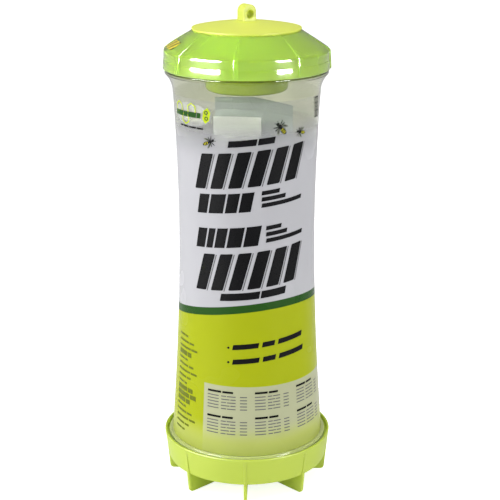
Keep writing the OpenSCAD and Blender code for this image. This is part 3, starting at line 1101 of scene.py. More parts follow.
class LabelSheet:
    """Flat print shapes, drawn in millimetres on the label and then wrapped round the body.

    On the flat sheet X runs along the girth, Y is the height, and a rise of the rows to the
    right is added by the tilt.
    """

    REACH = 48.0
    TURN = 1.4

    def __init__(self, tilt: float = 0.096, lift: float = 0.45) -> None:
        """Starts an empty sheet.

        Args:
            tilt: rise of the rows per millimetre of girth.
            lift: how far the print's face lies outside the body curve.
        """
        self.bm = bmesh.new()
        self.tilt = tilt
        self.lift = lift

    def girth(self, degrees: float) -> float:
        """Gives the place along the girth for an angle from the front."""
        return math.radians(degrees) * self.REACH

    def bar(self, left: float, right: float, middle: float, height: float,
            slant: float = 0.18, rounding: float = 0.0) -> None:
        """Draws a slanted bar.

        Args:
            left: angle of its left end.
            right: angle of its right end.
            middle: height of its middle, before the tilt.
            height: its height.
            slant: how far its top leans to the right, per millimetre of height.
            rounding: rounding of its corners.
        """
        start, stop = self.girth(left), self.girth(right)
        width = stop - start
        columns = max(1, math.ceil(width / 2.5))
        rows = max(1, math.ceil(height / 6.0))
        lean = Matrix(((width / 2, slant * height / 2, 0, (start + stop) / 2),
                       (0, height / 2, 0, middle), (0, 0, 1, 0), (0, 0, 0, 1)))
        made = bmesh.ops.create_grid(self.bm, x_segments=columns, y_segments=rows, size=1.0)
        bmesh.ops.transform(self.bm, matrix=lean, verts=made["verts"])
        if rounding > 0:
            corners = [v for v in made["verts"] if len(v.link_edges) == 2]
            bmesh.ops.bevel(self.bm, geom=corners, offset=rounding, segments=3, profile=0.5,
                            affect="VERTICES", material=-1)

    def words(self, left: float, right: float, middle: float, height: float, pattern: str,
              slant: float = 0.18, gap: float = 1.1) -> None:
        """Draws a row of plain bars in place of words.

        Args:
            left: angle of the row's left end.
            right: angle of its right end.
            middle: height of its middle, before the tilt.
            height: its height.
            pattern: a digit per bar, for its share of the row.
            slant: how far each bar leans.
            gap: the gap between bars, in degrees.
        """
        shares = [int(digit) for digit in pattern]
        room = right - left - gap * (len(shares) - 1)
        at = left
        for share in shares:
            width = room * share / sum(shares)
            self.bar(at, at + width, middle, height, slant)
            at += width + gap

    def spot(self, at: float, middle: float, wide: float, tall: float, turn: float = 0.0,
             sides: int = 20) -> None:
        """Draws an ellipse, or a polygon with few sides.

        Args:
            at: angle of its centre.
            middle: height of its centre, before the tilt.
            wide: half its width.
            tall: half its height.
            turn: its turn on the sheet, in degrees.
            sides: the number of its sides.
        """
        place = (Matrix.Translation((self.girth(at), middle, 0))
                 @ Matrix.Rotation(math.radians(turn), 4, "Z")
                 @ Matrix.Diagonal((wide, tall, 1, 1)))
        bmesh.ops.create_circle(self.bm, cap_ends=True, segments=sides, radius=1.0, matrix=place)

    def ring(self, at: float, middle: float, outer: float, inner: float, sides: int = 6,
             turn: float = 0.0) -> None:
        """Draws a ring or the outline of a polygon.

        Args:
            at: angle of its centre.
            middle: height of its centre, before the tilt.
            outer: its outer radius.
            inner: its inner radius.
            sides: the number of its sides.
            turn: its turn on the sheet, in degrees.
        """
        place = (Matrix.Translation((self.girth(at), middle, 0))
                 @ Matrix.Rotation(math.radians(turn), 4, "Z"))
        edges = []
        for radius in (outer, inner):
            made = bmesh.ops.create_circle(self.bm, cap_ends=False, segments=sides,
                                           radius=radius, matrix=place)["verts"]
            edges += list({edge for vert in made for edge in vert.link_edges})
        bmesh.ops.bridge_loops(self.bm, edges=edges)

    def finish(self, name: str, ink: Ink) -> bpy.types.Object:
        """Wraps the sheet round the body as a thin layer of ink.

        Args:
            name: the piece's name.
            ink: its finish.

        Returns:
            The piece.
        """
        thick = 0.05
        grown = bmesh.ops.extrude_face_region(self.bm, geom=list(self.bm.faces))["geom"]
        moved = [item for item in grown if isinstance(item, bmesh.types.BMVert)]
        bmesh.ops.translate(self.bm, vec=(0, 0, thick), verts=moved)
        for vert in self.bm.verts:
            angle = vert.co.x / self.REACH + math.radians(self.TURN)
            height = vert.co.y + self.tilt * vert.co.x
            radius = CURVE.radius(height) + self.lift + vert.co.z - thick
            vert.co = Vector((math.sin(angle) * radius, -math.cos(angle) * radius, height)) * MM
        bmesh.ops.recalc_face_normals(self.bm, faces=self.bm.faces)
        return piece(name, self.bm, Body.CANISTER, ink.material())


@dataclass(frozen=True)
class Label:
    """The printed film: its coloured fields and the plain bars and pictures on it.

    Attributes:
        low_z: height of the film's lower edge.
        high_z: height of its upper edge.
        inner: gap between the canister and the film.
        thick: thickness of the film.
    """

    low_z: float = 35.5
    high_z: float = 287.0
    inner: float = 0.08
    thick: float = 0.25

    def film(self) -> None:
        """Builds the film."""
        outer = CURVE.wall(self.low_z, self.high_z, self.inner + self.thick, 42)
        inner = CURVE.wall(self.low_z, self.high_z, self.inner, 42)
        bm = lathe(Outline([*outer, *reversed(inner)]), 180)
        piece("label_film", bm, Body.CANISTER, PrintedFilm().material(),
              ["label_wrap"])

    def headline(self, sheet: LabelSheet, shadow: LabelSheet, middle: float,
                 height: float) -> None:
        """Draws one row of heavy slanted stripes, with a fine shadow line beside each.

        Args:
            sheet: the sheet for the stripes.
            shadow: the sheet for the shadow lines.
            middle: height of the row's middle, before the tilt.
            height: the row's height.
        """
        stripes, left, right, gap = 6, -42.0, 46.0, 4.6
        width = (right - left - gap * (stripes - 1)) / stripes
        for index in range(stripes):
            start = left + index * (width + gap)
            sheet.bar(start, start + width, middle, height, 0.28, 0.8)
            shadow.bar(start + width + 0.6, start + width + 1.5, middle - 0.5, height, 0.28)

    def wasp(self, black: LabelSheet, yellow: LabelSheet, pale: LabelSheet, at: float,
             middle: float, size: float, turn: float) -> None:
        """Draws a small plain wasp seen from above.

        Args:
            black: the sheet for its body and legs.
            yellow: the sheet for its bands.
            pale: the sheet for its wings.
            at: angle of its centre.
            middle: height of its centre, before the tilt.
            size: its length.
            turn: its heading on the sheet, in degrees.
        """
        unit = size / 10
        heading = Vector((math.cos(math.radians(turn)), math.sin(math.radians(turn))))
        side = Vector((-heading.y, heading.x))

        def spot(sheet: LabelSheet, along: float, across: float, wide: float, tall: float,
                 lean: float = 0.0) -> None:
            """Draws one part of the wasp in its own directions.

            Args:
                sheet: the sheet that it is drawn on.
                along: its place along the wasp.
                across: its place across the wasp.
                wide: its length.
                tall: its width.
                lean: its own turn, in degrees.
            """
            place = (heading * along + side * across) * unit
            angle = at + math.degrees(place.x / LabelSheet.REACH)
            sheet.spot(angle, middle + place.y, wide * unit, tall * unit, turn + lean, 14)

        spot(black, -2.4, 0.0, 2.5, 1.25)
        spot(black, 0.9, 0.0, 1.3, 1.1)
        spot(black, 2.9, 0.0, 0.9, 0.95)
        for along in (-1.3, -2.6, -3.7):
            spot(yellow, along, 0.0, 0.26, 1.0)
        for mirror in (-1.0, 1.0):
            spot(pale, -0.6, 2.1 * mirror, 2.4, 0.75, -38 * mirror)
            for along, lean in ((2.2, 62), (0.9, 96), (-0.4, 128)):
                spot(black, along, 1.9 * mirror, 1.8, 0.26, lean * mirror)
            spot(black, 4.1, 0.7 * mirror, 0.9, 0.15, 30 * mirror)

    def emblem(self, lime: LabelSheet, green: LabelSheet, halo: LabelSheet, small: LabelSheet,
               at: float) -> None:
        """Draws the emblem: open honeycomb cells with a row of plain bars across them.

        Args:
            lime: the sheet for the cells.
            green: the sheet for the bars and the two small cells.
            halo: the sheet for the pale ground behind them.
            small: the sheet for the fine line under them.
            at: angle of the emblem's centre.
        """
        halo.spot(at + 1.0, 277.0, 17.5, 8.0)
        for turn, out in ((-13.0, 1.0), (-5.0, -1.0), (3.0, 1.0)):
            lime.ring(at + turn, 277.4 + 3.4 * out, 4.4, 3.5, 6, 0.0)
        lime.spot(at + 17.5, 277.5, 3.0, 5.6, -12.0, 6)
        green.words(at - 19.0, at + 12.0, 277.0, 3.6, "24352", 0.18, 0.7)
        green.ring(at + 17.5, 279.6, 1.5, 0.8, 6, 12.0)
        green.ring(at + 17.5, 275.6, 1.5, 0.8, 6, 12.0)
        small.words(at - 13.0, at + 14.0, 267.6, 1.1, "2343", 0.18, 1.0)

    def rows(self, sheet: LabelSheet, shadow: LabelSheet) -> None:
        """Draws the rows of plain bars on the front.

        Args:
            sheet: the sheet for the bars.
            shadow: the sheet for the shadow lines.
        """
        self.headline(sheet, shadow, 241.6, 24.4)
        self.headline(sheet, shadow, 170.4, 26.0)
        sheet.words(-14.5, 22.0, 259.8, 4.4, "53")
        sheet.words(-42.5, 4.5, 219.0, 13.4, "3433", 0.2, 1.6)
        sheet.words(-44.5, 10.5, 194.8, 13.8, "32344", 0.2, 1.6)
        sheet.words(-22.0, 33.0, 152.6, 5.2, "64")
        for index, right in enumerate((27.0, 32.5, 49.5)):
            sheet.words(11.8, right, 224.2 - index * 4.3, 2.9, "5", 0.18)
            sheet.words(15.6, right + 2.0, 199.3 - index * 4.4, 2.9, "5", 0.18)
        for index in range(2):
            middle = 116.2 - index * 10.6
            sheet.spot(-15.0, middle, 0.8, 0.8)
            sheet.words(-11.5, 50.0 + index, middle, 3.6, "637", 0.2, 3.0)

    def notes(self, sheet: LabelSheet, bold: LabelSheet) -> None:
        """Draws the fine rows of the notes panel.

        Args:
            sheet: the sheet for the fine rows.
            bold: the sheet for their headings.
        """
        for block_at, width in ((-32.0, 34.0), (6.0, 30.0), (42.0, 32.0), (88.0, 44.0)):
            for group in range(2):
                top = 82.0 - group * 18.5
                bold.words(block_at, block_at + width * 0.62, top, 1.5, "43", 0.1, 1.0)
                for line in range(5):
                    middle = top - 3.0 - line * 2.3
                    sheet.words(block_at, block_at + width * 0.28, middle, 0.7, "5", 0.0)
                    sheet.words(block_at + width * 0.34, block_at + width * 0.68, middle, 0.7,
                                "53" if line % 2 else "35", 0.0, 0.7)
                    sheet.words(block_at + width * 0.78, block_at + width * 0.94, middle, 0.7,
                                "5", 0.0)

    def margin(self, sheet: LabelSheet) -> None:
        """Draws the column of short rows at the left of the lime field.

        Args:
            sheet: the sheet that the rows are drawn on.
        """
        for line in range(17):
            tall = 3.4 if line in (3, 9, 10, 11) else 1.5
            width = (14.0, 22.0, 26.0, 19.0)[line % 4]
            sheet.words(-70.0, -70.0 + width, 115.5 - line * 4.4, tall, "52", 0.0, 1.0)

    def back(self, sheet: LabelSheet, bold: LabelSheet) -> None:
        """Draws the steps on the back: open cells beside rows of plain bars.

        Args:
            sheet: the sheet for the rows.
            bold: the sheet for headings and cells.
        """
        bold.words(140.0, 214.0, 252.0, 6.0, "754", 0.15, 2.0)
        for step in range(4):
            top = 236.0 - step * 21.0
            bold.ring(147.0, top - 5.0, 6.0, 5.0, 6, 30.0)
            bold.spot(147.0, top - 5.0, 2.2, 2.2, 30.0, 6)
            for line in range(4):
                width = (52.0, 46.0, 55.0, 30.0)[(line + step) % 4]
                sheet.words(160.0, 160.0 + width, top - line * 3.6, 1.3, "5343", 0.0, 1.2)

    def code(self, sheet: LabelSheet) -> None:
        """Draws the small stripe code near the right of the top edge.

        Args:
            sheet: the sheet that the stripes are drawn on.
        """
        widths = (1.0, 0.5, 0.5, 1.2, 0.5, 0.9, 0.5, 1.3, 0.6, 0.5, 1.0)
        height = 286.0
        for index, width in enumerate(widths):
            sheet.bar(62.0 + index * 0.4, 70.0 + index * 0.4, height - width / 2, width, 0.0)
            height -= width + 0.6

    def build(self) -> None:
        """Builds the film and everything printed on it."""
        self.film()
        front, shadow = LabelSheet(), LabelSheet(lift=0.42)
        self.rows(front, shadow)
        yellow, pale = LabelSheet(lift=0.5), LabelSheet(lift=0.41)
        halo, green = LabelSheet(tilt=0.02, lift=0.41), LabelSheet(tilt=0.02, lift=0.5)
        emblem_lime = LabelSheet(tilt=0.02, lift=0.46)
        self.wasp(front, yellow, pale, -30.5, 261.6, 10.4, 20.0)
        self.wasp(front, yellow, pale, 26.6, 267.1, 12.0, 128.0)
        self.wasp(front, yellow, pale, 46.0, 260.8, 9.6, 160.0)
        flat, bold, olive = LabelSheet(tilt=0.0), LabelSheet(tilt=0.0), LabelSheet(tilt=0.0)
        self.notes(flat, bold)
        self.back(flat, bold)
        self.code(bold)
        self.margin(olive)
        self.emblem(emblem_lime, green, halo, bold, -49.5)
        front.finish("label_heavy_print", BLACK_INK)
        shadow.finish("label_shadow_lines", GREY_INK)
        yellow.finish("label_wasp_bands", YELLOW_INK)
        pale.finish("label_wasp_wings", WING_INK)
        emblem_lime.finish("label_emblem_cells", LIME_INK)
        green.finish("label_emblem_bar", GREEN_INK)
        halo.finish("label_emblem_ground", PALE_INK)
        flat.finish("label_fine_print", GREY_INK)
        bold.finish("label_small_headings", BLACK_INK)
        olive.finish("label_margin_print", OLIVE_INK)


@dataclass(frozen=True)
class PillowBag:
    """A flat bag with crimped seals and a crumpled, swollen middle.

    Attributes:
        node: the CAD node that it stands for.
        name: the piece's name.
        crumple: depth of its creases.
        crimp: depth of the crimped seal's ridges.
        seal: height of the crimped seal at the top.
        droop: how far the top's right end lies below its left end.
        seed: where its creases are taken from.
    """

    node: str
    name: str
    crumple: float
    crimp: float
    seal: float
    droop: float
    seed: float

    def build(self, slot: Slot, material: bpy.types.Material) -> None:
        """Builds the bag in the space of its CAD node.

        Args:
            slot: its material slot; not used.
            material: its material.
        """
        low, high = room_of(self.node)
        size = high - low
        bm = bmesh.new()
        for face_side in (-1.0, 1.0):
            made = bmesh.ops.create_grid(bm, x_segments=56, y_segments=84, size=0.5)["verts"]
            for vert in made:
                across, up = vert.co.x * 2, vert.co.y + 0.5
                self.shape(vert, across, up, face_side, low, size)
        bmesh.ops.remove_doubles(bm, verts=bm.verts, dist=2e-5)
        bmesh.ops.recalc_face_normals(bm, faces=bm.faces)
        piece(self.name, bm, Body.CANISTER, material, [self.node], sharp=75.0)

    def shape(self, vert: bmesh.types.BMVert, across: float, up: float, face_side: float,
              low: Vector, size: Vector) -> None:
        """Moves one point of a face to its place on the swollen bag.

        Args:
            vert: the point.
            across: its place across the bag, from -1 to 1.
            up: its place up the bag, from 0 to 1.
            face_side: -1 for the front face and 1 for the back.
            low: the bag's lowest corner.
            size: its size.
        """
        seal = self.seal / size.z
        swell = max(0.0, 1 - abs(across) ** 3) ** 0.5
        swell *= min(1.0, max(0.0, (1 - seal - up)) / 0.35) ** 0.6
        swell *= min(1.0, 0.55 + up * 1.8)
        rim = min(1.0, (1 - abs(across)) * 9, up * 14)
        depth = size.y * 0.44 * swell * max(0.0, rim) ** 0.5
        spot = Vector((across * 2.4 + self.seed, up * 4.4, self.seed))
        crease = noise.noise(spot) + 0.5 * noise.noise(spot * 2.7)
        ridge = self.crimp * math.sin(up * size.z * 3.4) if up > 1 - seal else 0.0
        bend = noise.noise(Vector((across * 1.3, up * 2.0, self.seed + 7))) * self.crumple * 0.9
        inset = 1.0 - 0.03 * swell
        top = size.z * up - self.droop * max(0.0, across) * up * up
        y = depth * face_side + (crease * self.crumple * swell * face_side) + ridge + bend
        y = max(-size.y * 0.49, min(size.y * 0.49, y))
        centre = low + size / 2
        vert.co = Vector((centre.x + across * inset * size.x / 2, centre.y + y, low.z + top)) * MM


@dataclass(frozen=True)
class Contents:
    """What the upper chamber holds: the foil pouch, the powder packet and the vial.

    Attributes:
        glass: thickness of the vial's wall.
        shoulder_h: height of its neck and shoulder.
        neck_step: how far its neck stands in from its side.
        case_wall: thickness of a cartridge's walls.
        slats: number of slats in a cartridge's face.
        slat_pitch: distance from slat to slat.
        slat_h: height of a slat.
    """

    glass: float = 1.0
    shoulder_h: float = 8.0
    neck_step: float = 2.0
    case_wall: float = 0.8
    slats: int = 6
    slat_pitch: float = 5.07
    slat_h: float = 3.4

    def vial(self) -> None:
        """Builds the vial, its liquid and its cap."""
        low, high = room_of("attractant_vial")
        centre = (low + high) / 2
        radius = (high.x - low.x) / 2
        neck = radius - self.neck_step
        shoulder = high.z - self.shoulder_h
        inside, bottom = radius - self.glass, low.z + self.glass
        glass = Outline([
            (0.0, low.z, 0.0), (radius, low.z, 1.2), (radius, shoulder - 2, 1.5),
            (neck, shoulder, 0.8), (neck, high.z, 0.3), (neck - self.glass, high.z, 0.3),
            (neck - self.glass, shoulder - 0.4, 0.8), (inside, shoulder - 2.4, 1.2),
            (inside, bottom, 0.9), (0.0, bottom, 0.0)], closed=False)
        self.stand("vial_bottle", glass, centre, FROSTED.material(),
                   "attractant_vial")
        wet_low, wet_high = room_of("vial_liquid")
        wet = Outline([(0.0, wet_low.z, 0.0), (inside - 0.1, wet_low.z, 0.8),
                       (inside - 0.1, wet_high.z, 0.2), (0.0, wet_high.z - 0.2, 0.0)],
                      closed=False)
        self.stand("vial_lure", wet, centre, LIQUID.material(), "vial_liquid")
        cap_low, cap_high = room_of("vial_cap")
        cap = Outline([(0.0, cap_high.z, 0.0), (radius, cap_high.z, 0.7),
                       (radius, cap_low.z, 0.3), (neck + 0.1, cap_low.z, 0.2),
                       (neck + 0.1, cap_high.z - 1.4, 0.2), (0.0, cap_high.z - 1.4, 0.0)],
                      closed=False)
        self.stand("vial_screw_cap", cap, centre, WHITE.material(), "vial_cap")

    def stand(self, name: str, outline: Outline, centre: Vector,
              material: bpy.types.Material, node: str) -> None:
        """Turns an outline round an upright axis beside the trap's own.

        Args:
            name: the piece's name.
            outline: its half section.
            centre: a point on its axis.
            material: its material.
            node: the CAD node that it stands for.
        """
        bm = lathe(outline, 64)
        bmesh.ops.translate(bm, vec=Vector((centre.x, centre.y, 0)) * MM, verts=bm.verts)
        piece(name, bm, Body.CANISTER, material, [node])

    def cartridges(self) -> None:
        """Builds the two slotted cartridges and the pads inside them."""
        for side in ("left", "right"):
            low, high = room_of(f"cartridge_case_{side}")
            wall = self.case_wall
            left, right, floor, top = low.x + wall, high.x - wall, low.z + wall, high.z - wall
            bm = bmesh.new()
            block(bm, low, (high.x, high.y, floor), 0.2)
            block(bm, (low.x, low.y, top), high, 0.2)
            for x in (low.x, right):
                block(bm, (x, low.y, floor), (x + wall, high.y, top), 0.1)
            block(bm, (left, high.y - wall, floor), (right, high.y, top), 0.1)
            for slat in range(self.slats):
                base = floor + slat * self.slat_pitch
                block(bm, (left, low.y, base), (right, low.y + wall, base + self.slat_h), 0.2)
            piece(f"lure_cartridge_{side}", bm, Body.CANISTER, WHITE.material(),
                  [f"cartridge_case_{side}"])
            pad_low, pad_high = room_of(f"lure_pad_{side}")
            pad = bmesh.new()
            block(pad, pad_low, pad_high, 0.9)
            piece(f"felt_pad_{side}", pad, Body.CANISTER, FELT.material(),
                  [f"lure_pad_{side}"])

    def build(self) -> None:
        """Builds everything in the upper chamber."""
        PillowBag("foil_pouch", "lure_pouch", 0.9, 0.18, 9.0, 6.0, 3.1).build(
            Slot.FOIL, Foil().material())
        PillowBag("powder_packet", "powder_sachet", 0.45, 0.14, 6.0, 0.6, 8.7).build(
            Slot.PAPER, PAPER.material())
        low, high = room_of("powder_fill")
        heap = bmesh.new()
        block(heap, low, high, 0.6)
        piece("powder_heap", heap, Body.CANISTER, POWDER.material(),
              ["powder_fill"])
        self.vial()
        self.cartridges()


@dataclass(frozen=True)
class Lid:
    """The domed lid with its grip ribs, the entry funnel under it and the sticker.

    Attributes:
        skirt_r: radius of the skirt at its lower edge.
        skirt_z: height of that edge.
        eave_r: radius of the eave.
        eave_z: height of the eave's round.
        seat_r: radius of the flat seat under the rain cap.
        seat_z: height of that seat.
        collar_r: outer radius of the collar under the seat.
        wall: thickness of the dome.
        ribs: number of grip ribs.
        rib_turn: angle of the first grip rib.
        rib_w: width of a rib on the skirt.
        crown_r: radius where the slope stands highest above its straight line.
        bore_r: inner radius of the skirt.
        brow_r: inner radius of the dome above the skirt's bore.
        lip_z: height of the canister's lip, which the funnel's flange sits on.
        flange_z: height of the flange's top.
        flange_r: outer radius of the flange.
        ring_r: inner and outer radius of the ring that stands on the flange.
        funnel_z: height of the funnel's floor.
        funnel_hole_r: radius of the hole in its floor.
    """

    skirt_r: float = 57.8
    skirt_z: float = 302.5
    eave_r: float = 57.1
    eave_z: float = 313.2
    seat_r: float = 37.4
    seat_z: float = 328.4
    collar_r: float = 36.0
    wall: float = 2.4
    ribs: int = 8
    rib_turn: float = -6.0
    rib_w: float = 3.2
    crown_r: float = 50.5
    bore_r: float = 55.1
    brow_r: float = 52.0
    lip_z: float = 310.0
    flange_z: float = 311.5
    flange_r: float = 53.2
    ring_r: tuple[float, float] = (36.3, 37.5)
    funnel_z: float = 287.0
    funnel_hole_r: float = 9.0

    def slope_z(self, radius: float) -> float:
        """Gives the height of the dome's outer slope at a radius."""
        share = (radius - self.seat_r) / (self.eave_r - 1.24 - self.seat_r)
        return self.seat_z + (self.eave_z + 2.3 - self.seat_z) * share

    def skin_z(self, radius: float) -> float:
        """Gives the height of the slope's slightly crowned skin at a radius.

        Args:
            radius: the radius.

        Returns:
            The height.
        """
        bend, rise = self.crown_r, 0.7
        if radius < bend:
            return self.slope_z(radius) + rise * (radius - self.seat_r) / (bend - self.seat_r)
        return self.slope_z(radius) + rise + 0.2 * (radius - bend) / (self.eave_r - bend)

    def outline(self) -> Outline:
        """Gives the lid's half section.

        Returns:
            The half section.
        """
        inner = self.collar_r - 2.0
        return Outline([
            (self.bore_r, self.skirt_z, 0.3), (self.skirt_r, self.skirt_z, 0.5),
            (self.skirt_r - 0.5, self.skirt_z + 6.4, 0.2),
            (self.eave_r, self.skirt_z + 6.7, 0.2),
            (self.eave_r, self.skin_z(self.eave_r), 3.0),
            (self.crown_r, self.skin_z(self.crown_r), 6.0),
            (self.seat_r, self.seat_z, 0.5), (inner, self.seat_z, 0.4),
            (inner, self.flange_z + 0.5, 0.3), (self.collar_r, self.flange_z + 0.5, 0.3),
            (self.collar_r, self.slope_z(self.collar_r) - self.wall, 0.8),
            (self.brow_r, self.slope_z(self.brow_r) - self.wall, 1.0),
            (self.brow_r, self.flange_z, 0.3), (self.bore_r, self.flange_z, 0.3)])

    def rib(self, bm: bmesh.types.BMesh, angle: float) -> None:
        """Adds one grip rib, which is widest at the skirt and fades out up the slope.

        Args:
            bm: the lid's mesh.
            angle: the rib's angle.
        """
        tip = 41.0
        side = Outline([
            (tip, self.skin_z(tip) - 0.9, 0.0), (tip, self.skin_z(tip) + 0.15, 0.0),
            (self.crown_r, self.skin_z(self.crown_r) + 0.5, 3.0),
            (self.eave_r + 0.4, self.skin_z(self.eave_r) + 0.2, 1.4),
            (self.skirt_r + 0.5, self.skirt_z + 0.7, 0.3),
            (self.skirt_r - 1.6, self.skirt_z + 0.7, 0.0),
            (self.eave_r - 1.4, self.eave_z - 1.0, 0.0)])
        verts = plate(bm, side.points(4), self.rib_w, 0.35)
        for vert in verts:
            share = (vert.co.x / MM - tip) / (self.skirt_r - tip)
            vert.co.y *= 0.28 + 0.72 * max(0.0, min(1.0, share))
        turned(bm, angle, verts)

    def funnel(self) -> None:
        """Builds the entry funnel: a flange on the canister's lip and a bowl with a hole."""
        lip, top, floor, hole = self.lip_z, self.flange_z, self.funnel_z, self.funnel_hole_r
        rim, (ring_in, ring_out), inside = self.flange_r, self.ring_r, floor + 1.3
        outline = Outline([
            (rim, lip, 0.3), (30.2, lip, 0.8), (28.6, floor, 4.0), (hole, floor, 0.4),
            (hole, inside, 0.4), (27.3, inside, 2.7), (28.9, top, 0.8), (ring_in, top, 0.2),
            (ring_in, top + 1.5, 0.4), (ring_out, top + 1.5, 0.4), (ring_out, top, 0.3),
            (rim, top, 0.3)])
        piece("upper_entry_funnel", lathe(outline), Body.FUNNEL,
              FUNNEL_CLEAR.material(), ["entry_funnel"])

    def sticker(self) -> None:
        """Builds the small sticker on the left of the slope."""
        low_r, high_r = self.eave_r - 2.2, self.eave_r - 9.5
        bm = bmesh.new()
        steps = 14
        corners = [(high_r, 0.12), (low_r, 0.12), (low_r, 0.34), (high_r, 0.34)]
        verts = [bm.verts.new(Vector((r, 0, self.skin_z(r) + lift)) * MM)
                 for r, lift in corners]
        face = bm.faces.new(verts)
        bmesh.ops.spin(bm, geom=[face], cent=(0, 0, 0), axis=(0, 0, 1), angle=math.radians(22),
                       steps=steps, use_merge=False)
        turned(bm, -90 + self.rib_turn - 82)
        bmesh.ops.recalc_face_normals(bm, faces=bm.faces)
        piece("slope_sticker", bm, Body.LID, StickerFilm().material(),
              ["lid_sticker"])

    def build(self) -> None:
        """Builds the lid, the funnel and the sticker."""
        bm = lathe(self.outline(), 180)
        for index in range(self.ribs):
            self.rib(bm, index * 360 / self.ribs - 90 + self.rib_turn)
        thread(bm, self.bore_r, self.bore_r - THREAD_DEPTH, self.skirt_z + 3.0, LID_LEAD, 125.0, 2,
               1.2)
        piece("lid_dome", bm, Body.LID, GREEN_CLEAR.material(), ["lid"])
        self.funnel()
        self.sticker()


@dataclass(frozen=True)
class RainCap:
    """The lime disc on top, with its hanging eye and hooked legs.

    Attributes:
        radius: radius of the disc.
        seat_z: height of the lid's seat.
        edge_z: height of the underside of the disc's edge.
        crown_z: height of the crown.
        thick: thickness of the disc.
        eye_w: width of the hanging eye.
        eye_t: its thickness.
        eye_z: height of its hole.
        eye_top: height of its top.
        hole_r: radius of its hole.
        turn: angle that the hole is turned away from the front.
        leg_r: inner and outer radius of a leg.
        leg_z: height of its lower and upper end.
        leg_w: half its width.
        hook_r: inner and outer radius of its hook.
        hook_h: height of its hook.
    """

    radius: float = 37.7
    seat_z: float = 328.4
    edge_z: float = 328.9
    crown_z: float = 334.1
    thick: float = 1.6
    eye_w: float = 9.8
    eye_t: float = 9.4
    eye_z: float = 339.0
    eye_top: float = 345.6
    hole_r: float = 2.6
    turn: float = 33.0
    leg_r: tuple[float, float] = (31.6, 33.6)
    leg_z: tuple[float, float] = (313.5, 329.4)
    leg_w: float = 4.0
    hook_r: tuple[float, float] = (33.3, 35.7)
    hook_h: float = 2.2

    def crown(self, radius: float) -> float:
        """Gives the height of the disc's upper face at a radius.

        Args:
            radius: the radius.

        Returns:
            The height.
        """
        rise = self.crown_z - self.edge_z - 1.2
        bend = (self.radius ** 2 + rise ** 2) / (2 * rise)
        return self.crown_z - bend + math.sqrt(bend ** 2 - radius ** 2)

    def disc(self) -> Outline:
        """Gives the disc's half section, with the cove that the eye grows from.

        Returns:
            The half section.
        """
        steps = 18
        pad = self.eye_w / 2 + 2.2
        foot = pad + 2.6
        upper = [(r, self.crown(r), 0.0) for r in
                 (foot + (self.radius - foot) * i / steps for i in range(steps))]
        lower = [(r, self.crown(r) - self.thick, 0.0) for r in
                 (34.0 * (1 - i / steps) for i in range(steps + 1))]
        return Outline([
            (0.0, self.crown_z + 0.6, 0.0), (pad, self.crown_z + 0.6, 2.0),
            *upper, (self.radius, self.crown(self.radius), 0.4), (self.radius, self.edge_z, 0.4),
            (36.5, self.edge_z, 0.2), (36.4, self.seat_z, 0.2), (34.7, self.seat_z, 0.2),
            *lower], closed=False)

    def eye(self, bm: bmesh.types.BMesh) -> None:
        """Adds the hanging eye: a block with a round top and a hole through it.

        Args:
            bm: the rain cap's mesh.
        """
        sides = 48
        before = set(bm.verts)
        half, low = self.eye_w / 2, self.crown_z - 0.8
        middle = self.eye_top - half
        loops = []
        for outer in (True, False):
            verts = []
            for index in range(sides):
                angle = math.tau * index / sides
                if outer:
                    spot = self.rim_point(angle, half, middle, low)
                else:
                    spot = Vector((math.cos(angle) * self.hole_r, 0,
                                   self.eye_z + math.sin(angle) * self.hole_r))
                verts.append(bm.verts.new((spot + Vector((0, -self.eye_t / 2, 0))) * MM))
            loops += [bm.edges.new(pair) for pair in zip(verts, verts[1:] + verts[:1])]
        faces = bmesh.ops.bridge_loops(bm, edges=loops)["faces"]
        grown = bmesh.ops.extrude_face_region(bm, geom=faces)["geom"]
        moved = [item for item in grown if isinstance(item, bmesh.types.BMVert)]
        bmesh.ops.translate(bm, vec=(0, self.eye_t * MM, 0), verts=moved)
        new = [vert for vert in bm.verts if vert not in before]
        bmesh.ops.recalc_face_normals(bm, faces=list({f for v in new for f in v.link_faces}))
        rims = [e for e in {e for v in new for e in v.link_edges}
                if len(e.link_faces) == 2 and e.calc_face_angle(0) > math.radians(60)]
        bmesh.ops.bevel(bm, geom=rims, offset=0.7 * MM, segments=4, profile=0.5,
                        affect="EDGES", material=-1)
        new = [vert for vert in bm.verts if vert not in before]
        for vert in new:
            flare = max(0.0, (self.eye_z - 1.5) - vert.co.z / MM) / 5.0
            vert.co.x *= 1 + 0.2 * flare * flare
            vert.co.y *= 1 + 0.2 * flare * flare
        turned(bm, self.turn, new)

    def rim_point(self, angle: float, half: float, middle: float, low: float) -> Vector:
        """Gives the point of the eye's outline that lies in a direction from its hole.

        Args:
            angle: the direction, in radians.
            half: half the eye's width.
            middle: height of the centre of its round top.
            low: height of its foot.

        Returns:
            The point, in the XZ plane.
        """
        way = Vector((math.cos(angle), 0, math.sin(angle)))
        reach = half / max(abs(way.x), 1e-6)
        if way.z < 0:
            reach = min(reach, (self.eye_z - low) / -way.z)
        spot = Vector((0, 0, self.eye_z)) + way * reach
        if spot.z <= middle:
            return spot
        rise = middle - self.eye_z
        reach = rise * way.z + math.sqrt(max(0.0, half ** 2 - (rise * way.x) ** 2))
        return Vector((0, 0, self.eye_z)) + way * reach

    def legs(self, bm: bmesh.types.BMesh) -> None:
        """Adds the four legs, whose hooks catch under the lid's collar.

        Args:
            bm: the mesh that they are added to.
        """
        low, high = self.leg_z
        for index in range(4):
            verts = block(bm, (self.leg_r[0], -self.leg_w, low), (self.leg_r[1], self.leg_w, high))
            verts += block(bm, (self.hook_r[0], -self.leg_w, low),
                           (self.hook_r[1], self.leg_w, low + self.hook_h))
            turned(bm, self.turn + 45 + index * 90, verts)

